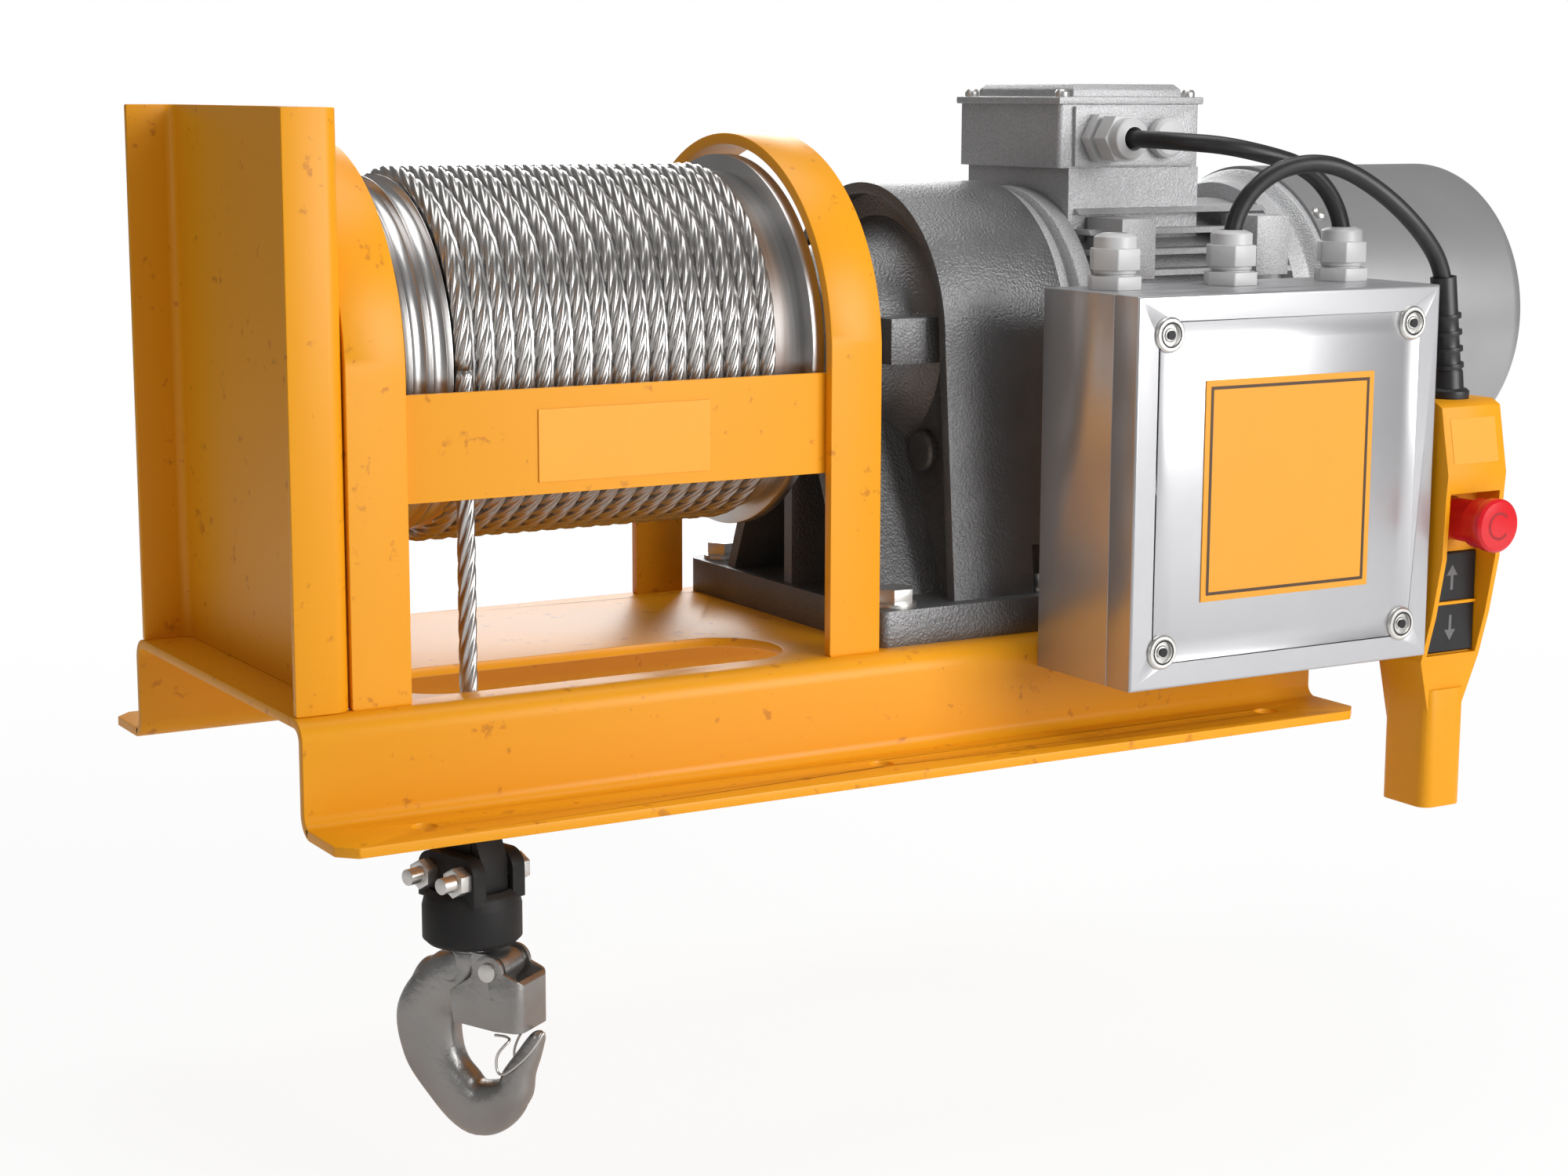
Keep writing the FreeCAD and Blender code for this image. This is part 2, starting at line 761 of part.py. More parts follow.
outer = horseshoe("housing_radius", "housing_flare", f"{FOOT_DOWN} - 1")
pad(casting, draw(casting, "YZ_Plane", [outer], offset="rim_x"), f"{GEARBOX_END} - rim_x")
inner_radius, inner_flare = "housing_radius - housing_wall", "housing_flare - housing_wall - 16"
cavity = horseshoe(inner_radius, inner_flare, f"{FOOT_DOWN} + 6")
cut(casting, draw(casting, "YZ_Plane", [cavity], offset=GEARBOX_END), f"{GEARBOX_END} - {CAVITY_X}", middle=False)
recess = horseshoe(f"{inner_radius} + 2", "housing_flare - housing_wall + 1", FOOT_DOWN)
cut(casting, draw(casting, "YZ_Plane", [recess], offset=WALL_X), "recess_depth", middle=False)
boss_outline = [
    ("gearbox_x", "0"),
    (f"{CAVITY_X} - 1", "0"),
    (f"{CAVITY_X} - 1", "boss_root_radius + 10"),
    (WALL_X, "boss_root_radius + 10"),
    (f"{WALL_X} - 12", "boss_root_radius"),
    ("gearbox_x + 3", "boss_tip_radius"),
    ("gearbox_x", "boss_tip_radius - 3"),
]
boss = casting.newObject("PartDesign::Revolution", "boss")
boss_sketch = draw(casting, "XY_Plane", [boss_outline])
boss.Profile = boss_sketch
boss.ReferenceAxis = (boss_sketch, ["H_Axis"])
boss.Angle = 360
doc.recompute()

# Ribs of the boss: one upright below the shaft, a slanted one each side, and a horizontal web with its tab.
ribs = [[("-4", FOOT_DOWN), ("4", FOOT_DOWN), ("4", "-boss_tip_radius + 8"), ("-4", "-boss_tip_radius + 8")]]
for side in (1, -1):
    ribs.append(
        [
            (f"{side} * 67", FOOT_DOWN),
            (f"{side} * 26", "-boss_tip_radius * 0.8"),
            (f"{side} * 17", "-boss_tip_radius * 0.8"),
            (f"{side} * 59", FOOT_DOWN),
        ]
    )
    ribs.append(
        [
            (f"{side} * (boss_tip_radius - 8)", "-11"),
            (f"{side} * (housing_radius - 15)", "-11"),
            (f"{side} * (housing_radius - 15)", "13"),
            (f"{side} * (boss_tip_radius - 8)", "13"),
        ]
    )
for number, outline in enumerate(ribs):
    start = "gearbox_x + 28" if number in (2, 4) else "gearbox_x + 5"
    pad(casting, draw(casting, "YZ_Plane", [outline], offset=start), f"{WALL_X} - ({start}) + 1")

# Bearing seats: one bore through the boss for the shaft and a blind one below for the intermediate shaft.
seat = "(shaft_bearing_radius + fit_gap)"
lay_seat = "(lay_bearing_radius + fit_gap)"
cut(
    casting,
    draw(casting, "YZ_Plane", circles=[("0", "0", seat)], offset=f"{CAVITY_X} + 1"),
    f"{CAVITY_X} - gearbox_x + 2",
    middle=False,
)
lay_boss = draw(casting, "YZ_Plane", circles=[("0", "-gear_offset", f"{lay_seat} + 5")], offset=WALL_X)
pad(casting, lay_boss, f"{CAVITY_X} - {WALL_X} + 2")
LAY_BEARING_X = f"({WALL_X} + 2)"
cut(
    casting,
    draw(casting, "YZ_Plane", circles=[("0", "-gear_offset", lay_seat)], offset=f"{CAVITY_X} + 3"),
    f"{CAVITY_X} + 3 - {LAY_BEARING_X}",
    middle=False,
)
PLUG_Y, PLUG_DOWN, PLUG_RADIUS = "-50", "-60", 8
plug_hole = draw(casting, "YZ_Plane", circles=[(PLUG_Y, PLUG_DOWN, f"{PLUG_RADIUS} + part_gap")], offset=f"{CAVITY_X} + 1")
cut(casting, plug_hole, "housing_wall + 2", middle=False)
head_room = [(x, y, "foot_bolt_radius * 2 + 1") for x, y in FOOT_BOLTS[2:]]
cut(casting, draw(casting, "XY_Plane", circles=head_room, offset=f"{FOOT_DOWN} + 26"), "26", middle=False)
bolt_holes = [(x, y, "foot_bolt_radius + bolt_gap") for x, y in FOOT_BOLTS]
cut(casting, draw(casting, "XY_Plane", circles=bolt_holes, offset=FOOT_DOWN), "foot_thickness + 1", middle=False)
keep(casting, "gearbox_housing")

# Drain plug in the recessed wall, with a low hexagon under its round cap.
plug = [
    ("-housing_wall", "0"),
    ("5", "0"),
    ("5", "9.5"),
    ("3.5", "11"),
    ("0", "11"),
    ("0", f"{PLUG_RADIUS}"),
    ("-housing_wall", f"{PLUG_RADIUS}"),
]
keep(turned("oil_plug", plug, WALL_X, PLUG_Y, f"{AXIS} + {PLUG_DOWN}", (0, 0, 1), 180), "oil_plug")

# Foot bolts: hexagon screws with washers through the foot and the deck, with a nut below each.
fastenings = []
for number, (x, y) in enumerate(FOOT_BOLTS):
    washer = turned(
        f"foot_washer_{number}",
        ring("0", "2.5", "foot_bolt_radius + 0.3", "foot_bolt_radius * 2"),
        x,
        y,
        FOOT_TOP,
        (0, 1, 0),
        -90,
    )
    bolt = hex_screw(
        f"foot_bolt_{number}", "foot_bolt_radius", "foot_thickness + base_plate + 18", x, y, f"{FOOT_TOP} + 2.5"
    )
    nut = take(
        f"foot_nut_{number}",
        hexagon(f"foot_nut_{number}", "foot_bolt_radius * 1.85", "10", x, y, f"{DECK} - base_plate - 10"),
        rod(f"nut_bore_{number}", "foot_bolt_radius + fit_gap", "12", x, y, f"{DECK} - base_plate - 11", (0, 0, 1), 0),
    )
    fastenings += [washer, bolt, nut]

# Input cover: a disc in the housing's open end, with the intermediate shaft's seat and the pinion's passage.
cover = new_body("input_cover")
place(cover, z=AXIS)
cover_edge = horseshoe(f"{inner_radius} - fit_gap", f"{inner_flare} - fit_gap", f"{FOOT_DOWN} + 6 + fit_gap")
pad(cover, draw(cover, "YZ_Plane", [cover_edge], offset=COVER_X), "cover_thickness")
cut(cover, draw(cover, "YZ_Plane", circles=[("0", "0", "motor_shaft_radius + 6")], offset=COVER_X))
cut(
    cover,
    draw(cover, "YZ_Plane", circles=[("0", "-gear_offset", lay_seat)], offset=f"{COVER_X} + lay_bearing_width"),
    "lay_bearing_width",
    middle=False,
)
keep(cover, "input_cover")


def toothed(name, label, teeth, module, start, width, bore, z, phase):
    """A spur gear about the X direction: straight-flanked teeth, thinned for running clearance."""
    count, size = int(value(teeth)), value(module)
    pitch_radius = count * size / 2
    root, tip = pitch_radius - 1.2 * size, pitch_radius + 0.85 * size
    step = 2 * math.pi / count
    corners = []
    for tooth in range(count):
        for share, radius in ((-0.29, root), (-0.105, tip), (0.105, tip), (0.29, root)):
            turn = math.radians(phase) + (tooth + share) * step
            corners.append(FreeCAD.Vector(0, radius * math.cos(turn), radius * math.sin(turn)))
    face = Part.Face(Part.makePolygon(corners + corners[:1]))
    shape = face.extrude(FreeCAD.Vector(value(width), 0, 0))
    if bore:
        axis = FreeCAD.Vector(1, 0, 0)
        shape = shape.cut(Part.makeCylinder(value(bore), value(width), FreeCAD.Vector(), axis))
    gear = doc.addObject("Part::Feature", name)
    gear.Shape = shape
    place(gear, start, "0", z)
    return gear


# Gear train: motor pinion, intermediate gear and pinion on one shaft, and the slow gear on the output shaft.
slow_gear = toothed(
    "slow_gear", "output_gear", "slow_gear_teeth", "slow_module", "slow_gear_x", "slow_width",
    "shaft_radius + fit_gap", AXIS, -90
)
keep(slow_gear, "output_gear")
fast_gear = toothed(
    "fast_gear", "intermediate_gear", "fast_gear_teeth", "fast_module", FAST_X, "fast_width",
    "lay_shaft_radius + fit_gap", LAY_Z, 90 + 180 / SIZES["fast_gear_teeth"]
)
keep(fast_gear, "intermediate_gear")
lay_pinion = toothed(
    "lay_pinion", "intermediate_shaft", "slow_pinion_teeth", "slow_module", "slow_gear_x", "slow_width",
    None, LAY_Z, 90 + 180 / SIZES["slow_pinion_teeth"]
)
lay_end = f"({COVER_X} + lay_bearing_width)"
lay_rod = rod("lay_shaft", "lay_shaft_radius", f"{lay_end} - {LAY_BEARING_X} - 1", f"{LAY_BEARING_X} + 0.5", z=LAY_Z)
keep(join("intermediate_shaft", [lay_pinion, lay_rod]), "intermediate_shaft")
lay_bearings = [
    turned(
        f"lay_bearing_{number}",
        ring(start, "lay_bearing_width", "lay_shaft_radius + fit_gap", "lay_bearing_radius"),
        z=LAY_Z,
    )
    for number, start in enumerate((LAY_BEARING_X, COVER_X))
]
keep(group("intermediate_bearings", lay_bearings), "intermediate_bearings")

# Motor frame: a finned tube with a neck for the terminal box and cast pads on its front shoulder.
tube = turned("frame_tube", ring("frame_x", "frame_length", "frame_radius - frame_wall", "frame_radius"), z=AXIS)
fin_boxes = []
for number in range(-6, 7):
    if abs(number) < 1:
        continue
    fin_boxes.append(
        box(
            f"fin_{number + 6}", "frame_x + 4", "-fin_radius", f"{AXIS} + {number} * fin_pitch - fin_thickness / 2",
            "frame_length - 8", "2 * fin_radius", "fin_thickness"
        )
    )
fin_boxes.append(
    box(
        "fin_middle", "frame_x + 4", "-fin_radius", f"{AXIS} - fin_thickness / 2",
        "frame_length - 8", "2 * fin_radius", "fin_thickness"
    )
)
for number in (-2, -1, 1, 2):
    fin_boxes.append(
        box(
            f"foot_fin_{number + 2}", "frame_x + 4", f"{number} * fin_pitch - fin_thickness / 2", f"{AXIS} - fin_radius",
            "frame_length - 8", "fin_thickness", "fin_radius"
        )
    )
fin_limit = doc.addObject("Part::Common", "fin_limit")
fin_limit.Base = join("fins", fin_boxes)
fin_limit.Tool = rod("fin_edge", "fin_radius", "frame_length - 8", "frame_x + 4", z=AXIS)
doc.recompute()
fins = take("frame_fins", fin_limit, rod("fin_root", "frame_radius - 1", "frame_length", "frame_x", z=AXIS))
neck = take(
    "frame_neck",
    box(
        "frame_neck", "frame_x", "-box_width / 2", f"{AXIS} + 30",
        "box_x + box_length / 2 - frame_x", "box_width", f"box_seat_z - {AXIS} - 30"
    ),
    rod("neck_bore", "frame_radius - 1", "frame_length", "frame_x", z=AXIS),
)
pads = [
    take(
        f"frame_pad_{number}",
        box(f"frame_pad_{number}", f"frame_x + {along}", "-fin_radius + 2", f"{AXIS} + 30", "23", "32", "33"),
        rod(f"pad_clear_{number}", "frame_radius - 1", "frame_length", "frame_x", z=AXIS),
    )
    for number, along in enumerate((12, 106))
]
keep(join("motor_frame", [tube, fins, neck] + pads), "motor_frame")

# End shields: the front one closes on the gearbox, the rear one carries the cowl on its rim.
SHIELD_BORE = "(motor_bearing_radius + fit_gap)"
front_shield = [
    (GEARBOX_END, "motor_bearing_radius - 8"),
    (f"{GEARBOX_END} + 5", "motor_bearing_radius - 8"),
    (f"{GEARBOX_END} + 5", SHIELD_BORE),
    (f"{GEARBOX_END} + 5 + motor_bearing_width", SHIELD_BORE),
    (f"{GEARBOX_END} + 5 + motor_bearing_width", "frame_radius - frame_wall - 8"),
    ("frame_x", "frame_radius - frame_wall - 8"),
    ("frame_x", "shield_radius"),
    ("frame_x - 10", "shield_radius"),
    ("frame_x - 14", "frame_radius"),
    (f"{GEARBOX_END} + 8", "frame_radius"),
    (f"{GEARBOX_END} + 8", "shield_radius"),
    (GEARBOX_END, "shield_radius"),
]
keep(turned("front_shield", front_shield, z=AXIS), "front_shield")
rear_bearing_x = f"({FRAME_END} + 6)"
rear_shield = [
    (FRAME_END, "frame_radius - frame_wall - 8"),
    (f"{FRAME_END} + 6", "frame_radius - frame_wall - 8"),
    (f"{FRAME_END} + 6", SHIELD_BORE),
    (f"{rear_bearing_x} + motor_bearing_width", SHIELD_BORE),
    (f"{rear_bearing_x} + motor_bearing_width", "motor_bearing_radius - 8"),
    (f"{rear_bearing_x} + motor_bearing_width + 3", "motor_bearing_radius - 8"),
    (f"{rear_bearing_x} + motor_bearing_width + 3", "frame_radius - 6"),
    ("cowl_x + 14", "frame_radius + 4"),
    ("cowl_x + 14", "cowl_radius - cowl_sheet - part_gap"),
    ("cowl_x - 4", "cowl_radius - cowl_sheet - part_gap"),
    ("cowl_x - 10", "shield_radius"),
    (FRAME_END, "shield_radius"),
]
keep(turned("rear_shield", rear_shield, z=AXIS), "rear_shield")

# Stator stack with its end turns, rotor cage and motor shaft with the fast pinion cut on its end.
CORE_X = "(frame_x + (frame_length - rotor_length) / 2)"
core_bore = "(frame_radius - frame_wall - fit_gap)"
stator = [
    (CORE_X, "stator_bore"),
    (f"{CORE_X} + rotor_length", "stator_bore"),
    (f"{CORE_X} + rotor_length", "stator_bore + 6"),
    (f"{CORE_X} + rotor_length + 14", "stator_bore + 8"),
    (f"{CORE_X} + rotor_length + 14", "stator_bore + 16"),
    (f"{CORE_X} + rotor_length", "stator_bore + 18"),
    (f"{CORE_X} + rotor_length", core_bore),
    (CORE_X, core_bore),
    (CORE_X, "stator_bore + 18"),
    (f"{CORE_X} - 14", "stator_bore + 16"),
    (f"{CORE_X} - 14", "stator_bore + 8"),
    (CORE_X, "stator_bore + 6"),
]
keep(turned("stator_core", stator, z=AXIS), "stator_core")
rotor_outline = ring(CORE_X, "rotor_length", "motor_shaft_radius + fit_gap", "stator_bore - 0.5")
keep(turned("rotor_core", rotor_outline, z=AXIS), "rotor_core")
pinion = toothed(
    "motor_pinion", "motor_shaft", "fast_pinion_teeth", "fast_module", FAST_X, "fast_width", None, AXIS, -90
)
shaft_outline = [
    (f"{FAST_X} + fast_width - 1", "0"),
    (f"{COWL_END} - 46", "0"),
    (f"{COWL_END} - 46", "motor_shaft_radius - 3"),
    (f"{rear_bearing_x} + motor_bearing_width + 20", "motor_shaft_radius - 3"),
    (f"{rear_bearing_x} + motor_bearing_width + 20", "motor_shaft_radius"),
    (f"{GEARBOX_END} + 4", "motor_shaft_radius"),
    (f"{GEARBOX_END} + 4", "6"),
    (f"{FAST_X} + fast_width - 1", "6"),
]
keep(join("motor_shaft", [pinion, turned("motor_spindle", shaft_outline, z=AXIS)]), "motor_shaft")
motor_bearings = [
    turned(
        f"motor_bearing_{number}",
        ring(start, "motor_bearing_width", "motor_shaft_radius + fit_gap", "motor_bearing_radius"),
        z=AXIS,
    )
    for number, start in enumerate((f"{GEARBOX_END} + 5", rear_bearing_x))
]
keep(group("motor_bearings", motor_bearings), "motor_bearings")

# Cooling fan: a hub, a back disc and straight blades, on the shaft's end under the cowl.
fan = new_body("cooling_fan")
place(fan, z=AXIS)
fan_hub = draw(
    fan,
    "YZ_Plane",
    circles=[("0", "0", "16"), ("0", "0", "motor_shaft_radius - 3 + fit_gap")],
    offset=f"{COWL_END} - 78",
)
pad(fan, fan_hub, "30")
fan_disc = draw(
    fan,
    "YZ_Plane",
    circles=[("0", "0", "fan_radius - 6"), ("0", "0", "15")],
    offset=f"{COWL_END} - 78",
)
pad(fan, fan_disc, "3")
blade_outline = [
    (f"{COWL_END} - 78", "15"),
    (f"{COWL_END} - 50", "15"),
    (f"{COWL_END} - 50", "fan_radius - 14"),
    (f"{COWL_END} - 62", "fan_radius"),
    (f"{COWL_END} - 78", "fan_radius"),
]
blade = pad(fan, draw(fan, "XY_Plane", [blade_outline]), "2.4", middle=True)
blades = fan.newObject("PartDesign::PolarPattern", "blades")
blades.Originals = [blade]
blades.Axis = (next(item for item in fan.Origin.OriginFeatures if item.Role == "X_Axis"), [""])
blades.Angle = 360
blades.Occurrences = 8
fan.Tip = blades
doc.recompute()
keep(fan, "cooling_fan")

# Fan cowl: a drawn sheet cup over the rear shield, with rings of air slots in its end.
cowl = new_body("fan_cowl")
place(cowl, z=AXIS)
cowl_inner = "(cowl_radius - cowl_sheet)"
cowl_bend = "(cowl_rim - cowl_sheet)"
cup = [
    ("cowl_x", cowl_inner),
    (f"{COWL_END} - cowl_rim", cowl_inner, f"{COWL_END} - cowl_rim", "cowl_radius - cowl_rim", -1),
    (f"{COWL_END} - cowl_sheet", "cowl_radius - cowl_rim"),
    (f"{COWL_END} - cowl_sheet", "0"),
    (COWL_END, "0"),
    (COWL_END, "cowl_radius - cowl_rim", f"{COWL_END} - cowl_rim", "cowl_radius - cowl_rim", 1),
    (f"{COWL_END} - cowl_rim", "cowl_radius"),
    ("cowl_x", "cowl_radius"),
]
turn_up(cowl, cup)
for inner, outer, count in (("22", "40", 8), ("46", "64", 12)):
    slot_outline = [("-3.5", inner), ("3.5", inner), ("3.5", outer), ("-3.5", outer)]
    air_slot = cut(cowl, draw(cowl, "YZ_Plane", [slot_outline], offset=f"{COWL_END} + 1"), "cowl_sheet + 2", middle=False)
    slots = cowl.newObject("PartDesign::PolarPattern", "air_slots")
    slots.Originals = [air_slot]
    slots.Axis = (next(item for item in cowl.Origin.OriginFeatures if item.Role == "X_Axis"), [""])
    slots.Angle = 360
    slots.Occurrences = count
    cowl.Tip = slots
    doc.recompute()
keep(cowl, "fan_cowl")

# Cowl screws: round-headed, through the cowl's edge into the rear shield.
screws = []
for number in range(4):
    turn = 45 + 90 * number
    reach_y, reach_z = math.cos(math.radians(turn)), math.sin(math.radians(turn))
    head = [("0", "0"), ("2.2", "0"), ("2.2", "2.6"), ("1", "4"), ("0", "4")]
    screws.append(
        turned(
            f"cowl_screw_{number}",
            head,
            "cowl_x + 6",
            f"(cowl_radius + 0.1) * {reach_y:.6f}",
            f"{AXIS} + (cowl_radius + 0.1) * {reach_z:.6f}",
        )
    )
    screws[-1].Placement = FreeCAD.Placement(
        screws[-1].Placement.Base,
        FreeCAD.Rotation(FreeCAD.Vector(1, 0, 0), FreeCAD.Vector(0, reach_y, reach_z)),
    )

# Terminal box: a cast frame on the motor's neck, a lid with a raised field, corner screws and a raised gland plate.
terminal = new_body("terminal_box")
BOX_LEFT, BOX_FRONT = "(box_x - box_length / 2)", "(-box_width / 2)"
BOX_RIGHT, BOX_TOP = "(box_x + box_length / 2)", "(box_seat_z + box_height)"


def rectangle(left, right, front, back):
    return [(left, front), (right, front), (right, back), (left, back)]


pad(
    terminal,
    draw(terminal, "XY_Plane", [rectangle(BOX_LEFT, BOX_RIGHT, BOX_FRONT, f"-{BOX_FRONT}")], offset="box_seat_z"),
    "box_height",
)
dress(terminal, "Fillet", "3", lambda edge: runs_along(edge, 2))
inside = rectangle(
    f"{BOX_LEFT} + box_wall", f"{BOX_RIGHT} - box_wall", f"{BOX_FRONT} + box_wall", f"-{BOX_FRONT} - box_wall"
)
cut(
    terminal,
    draw(terminal, "XY_Plane", [inside], offset=BOX_TOP),
    "box_height - box_wall",
    middle=False,
)
GLAND_X, PLUG_X = "(box_x - 21)", "(box_x + 21)"
GLAND_Z = "(box_seat_z + box_height / 2 - 1)"
plate_outline = rectangle(f"{BOX_LEFT} + 9", f"{BOX_RIGHT} - 4", "box_seat_z + 1", f"{BOX_TOP} - 1")
pad(terminal, draw(terminal, "XZ_Plane", [plate_outline], offset="box_width / 2"), "2.5")
entries = [(GLAND_X, GLAND_Z, "gland_radius - 2"), (PLUG_X, GLAND_Z, "gland_radius - 2")]
cut(terminal, draw(terminal, "XZ_Plane", circles=entries, offset="box_width / 2 + 3"), "box_wall + 6", middle=False)
keep(terminal, "terminal_box")

lid = new_body("terminal_lid")
lid_edge = rectangle(f"{BOX_LEFT} - 1.5", f"{BOX_RIGHT} + 1.5", f"{BOX_FRONT} - 1.5", f"-{BOX_FRONT} + 1.5")
pad(lid, draw(lid, "XY_Plane", [lid_edge], offset=BOX_TOP), "4")
raised = rectangle(f"{BOX_LEFT} + 11", f"{BOX_RIGHT} - 11", f"{BOX_FRONT} + 3", f"-{BOX_FRONT} - 3")
pad(lid, draw(lid, "XY_Plane", [raised], offset=f"{BOX_TOP} + 3"), "box_lid - 3")
dress(lid, "Chamfer", "3", lambda edge: abs(edge.BoundBox.ZMin - value(f"{BOX_TOP} + box_lid")) < 0.01)
keep(lid, "terminal_lid")
lid_screws = [
    turned(
        f"lid_screw_{number}",
        [("0", "0"), ("4", "0"), ("4", "3"), ("2.5", "4"), ("0", "4")],
        f"box_x + {along} * (box_length / 2 - 5)",
        f"{across} * (box_width / 2 - 5)",
        f"{BOX_TOP} + 4",
        (0, 1, 0),
        -90,
    )
    for number, (along, across) in enumerate(((-1, -1), (1, -1), (1, 1), (-1, 1)))
]
keep(group("motor_screws", screws + lid_screws), "motor_screws")


def gland(name, x, y, z, about, turn):
    """A cable gland on its seat: threaded shank inside the wall, a hexagon, a neck, and a domed hexagon nut."""
    bore = "cable_radius + part_gap"
    tube = turned(
        name + "_tube",
        [
            ("-8", bore),
            ("18", bore),
            ("22", "cable_radius + 1.5"),
            ("29", "cable_radius + 1.5"),
            ("27", "gland_radius + 1"),
            ("8", "gland_radius + 1"),
            ("8", "gland_radius"),
            ("0", "gland_radius"),
            ("0", "gland_radius - 2 - part_gap"),
            ("-8", "gland_radius - 2 - part_gap"),
        ],
        x,
        y,
        z,
        about,
        turn,
    )
    way = tube.Placement.Rotation.multVec(FreeCAD.Vector(1, 0, 0))
    rings = []
    for number, (start, length, radius) in enumerate((("0", "7", "gland_radius * 1.5"), ("10", "11", "gland_radius * 1.4"))):
        at = [f"{base} + ({way[i]:.6f}) * {start}" for i, base in enumerate((x, y, z))]
        bar = hexagon(f"{name}_hex_{number}", radius, length, *at)
        bar.Placement = FreeCAD.Placement(bar.Placement.Base, FreeCAD.Rotation(FreeCAD.Vector(0, 0, 1), way))
        hole = rod(f"{name}_clear_{number}", "gland_radius - 1", f"{length} + 2", *at)
        hole.Placement = FreeCAD.Placement(
            bar.Placement.Base - way, FreeCAD.Rotation(FreeCAD.Vector(0, 0, 1), way)
        )
        for i, letter in enumerate("xyz"):
            hole.setExpression(f"Placement.Base.{letter}", cell(f"{at[i]} - ({way[i]:.6f})"))
        doc.recompute()
        rings.append(take(f"{name}_hex_{number}", bar, hole))
    return join(name, [tube] + rings)


PLATE_FACE = f"({BOX_FRONT} - 2.5)"
keep(gland("terminal_gland", GLAND_X, PLATE_FACE, GLAND_Z, (0, 0, 1), -90), "terminal_gland")
blank = [
    ("-6", "0"),
    ("7", "0"),
    ("7", "gland_radius - 1"),
    ("5.5", "gland_radius + 1"),
    ("0", "gland_radius + 1"),
    ("0", "gland_radius - 2 - part_gap"),
    ("-6", "gland_radius - 2 - part_gap"),
]
keep(turned("blanking_plug", blank, PLUG_X, PLATE_FACE, GLAND_Z, (0, 0, 1), -90), "blanking_plug")

# Switch box: a folded sheet body with an open front, its lid, quarter-turn locks and three cable glands on top.
CASE_LEFT, CASE_RIGHT = "(case_x - case_width / 2)", "(case_x + case_width / 2)"
GLAND_XS = [f"(case_x + {i} * cable_gland_pitch)" for i in (-1, 0, 1)]
BACK_HOLES = [(f"case_x + {i} * 50", f"{DECK} + {lift}") for i in (-1, 1) for lift in (30, 120)]
case = new_body("enclosure_body")
outline = rectangle(CASE_LEFT, CASE_RIGHT, "case_low", CASE_TOP)
pad(case, draw(case, "XZ_Plane", [outline], offset=f"-{CASE_BACK}"), "case_depth")
hollow = rectangle(
    f"{CASE_LEFT} + case_sheet", f"{CASE_RIGHT} - case_sheet", "case_low + case_sheet", f"{CASE_TOP} - case_sheet"
)
cut(case, draw(case, "XZ_Plane", [hollow], offset=f"-{CASE_SEAM}"), "case_depth - case_sheet", middle=False)
gland_holes = [(x, "cable_gland_y", "gland_radius - 2") for x in GLAND_XS]
cut(case, draw(case, "XY_Plane", circles=gland_holes, offset=f"{CASE_TOP} + 1"), "case_sheet + 2", middle=False)
back_holes = [(x, z, "3 + bolt_gap") for x, z in BACK_HOLES]
cut(case, draw(case, "XZ_Plane", circles=back_holes, offset=f"-{CASE_BACK} + case_sheet + 1"), "case_sheet + 2", middle=False)
keep(case, "enclosure_body")

LOCKS = [
    (f"(case_x + {i} * (case_width / 2 - lock_inset))", f"({CASE_TOP} - case_height / 2 + {k} * (case_height / 2 - lock_inset))")
    for i in (-1, 1)
    for k in (-1, 1)
]
door = new_body("enclosure_lid")
pad(door, draw(door, "XZ_Plane", [outline], offset=f"-{CASE_SEAM}"), "case_lid")
dress(door, "Fillet", "1.5", lambda edge: abs(edge.BoundBox.YMax - value(CASE_FRONT)) < 0.01)
cut(door, draw(door, "XZ_Plane", [hollow], offset=f"-{CASE_SEAM} + case_lid - case_sheet"), "case_lid - case_sheet", middle=False)
lock_holes = [(x, z, "lock_radius - 2") for x, z in LOCKS]
cut(door, draw(door, "XZ_Plane", circles=lock_holes, offset=f"-{CASE_FRONT} + 1"), "case_sheet + 2", middle=False)
keep(door, "enclosure_lid")
lock_outline = [
    ("-case_lid", "0"),
    ("1.2", "0"),
    ("1.2", "3"),
    ("0.4", "3.6"),
    ("0.4", "6"),
    ("2", "6.6"),
    ("2", "lock_radius - 1"),
    ("1", "lock_radius"),
    ("0", "lock_radius"),
    ("0", "lock_radius - 2 - part_gap"),
    ("-7", "lock_radius - 2 - part_gap"),
    ("-7", "4"),
    ("-case_lid", "4"),
]
locks = [
    turned(f"lid_lock_{number}", lock_outline, x, CASE_FRONT, z, (0, 0, 1), -90)
    for number, (x, z) in enumerate(LOCKS)
]
keep(group("lid_locks", locks), "lid_locks")
glands = [
    gland(f"cable_gland_{number}", x, "cable_gland_y", CASE_TOP, (0, 1, 0), -90)
    for number, x in enumerate(GLAND_XS)
]
keep(group("cable_glands", glands), "cable_glands")

# Bracket behind the switch box: a bent plate screwed to the deck and to the box's back.
bracket = new_body("enclosure_bracket")
bracket_outline = [
    (CASE_BACK, DECK),
    (f"{CASE_BACK} + bracket_foot", DECK),
    (f"{CASE_BACK} + bracket_foot", f"{DECK} + bracket_plate"),
    (f"{CASE_BACK} + bracket_plate", f"{DECK} + bracket_plate"),
    (f"{CASE_BACK} + bracket_plate", f"{DECK} + bracket_height"),
    (CASE_BACK, f"{DECK} + bracket_height"),
]
pad(bracket, draw(bracket, "YZ_Plane", [bracket_outline], offset="bracket_x - bracket_length / 2"), "bracket_length")
deck_screw_holes = [(x, BRACKET_SCREW_Y, f"{BRACKET_SCREW} + bolt_gap") for x in BRACKET_SCREWS]
cut(
    bracket,
    draw(bracket, "XY_Plane", circles=deck_screw_holes, offset=f"{DECK} + bracket_plate + 1"),
    "bracket_plate + 2",
    middle=False,
)
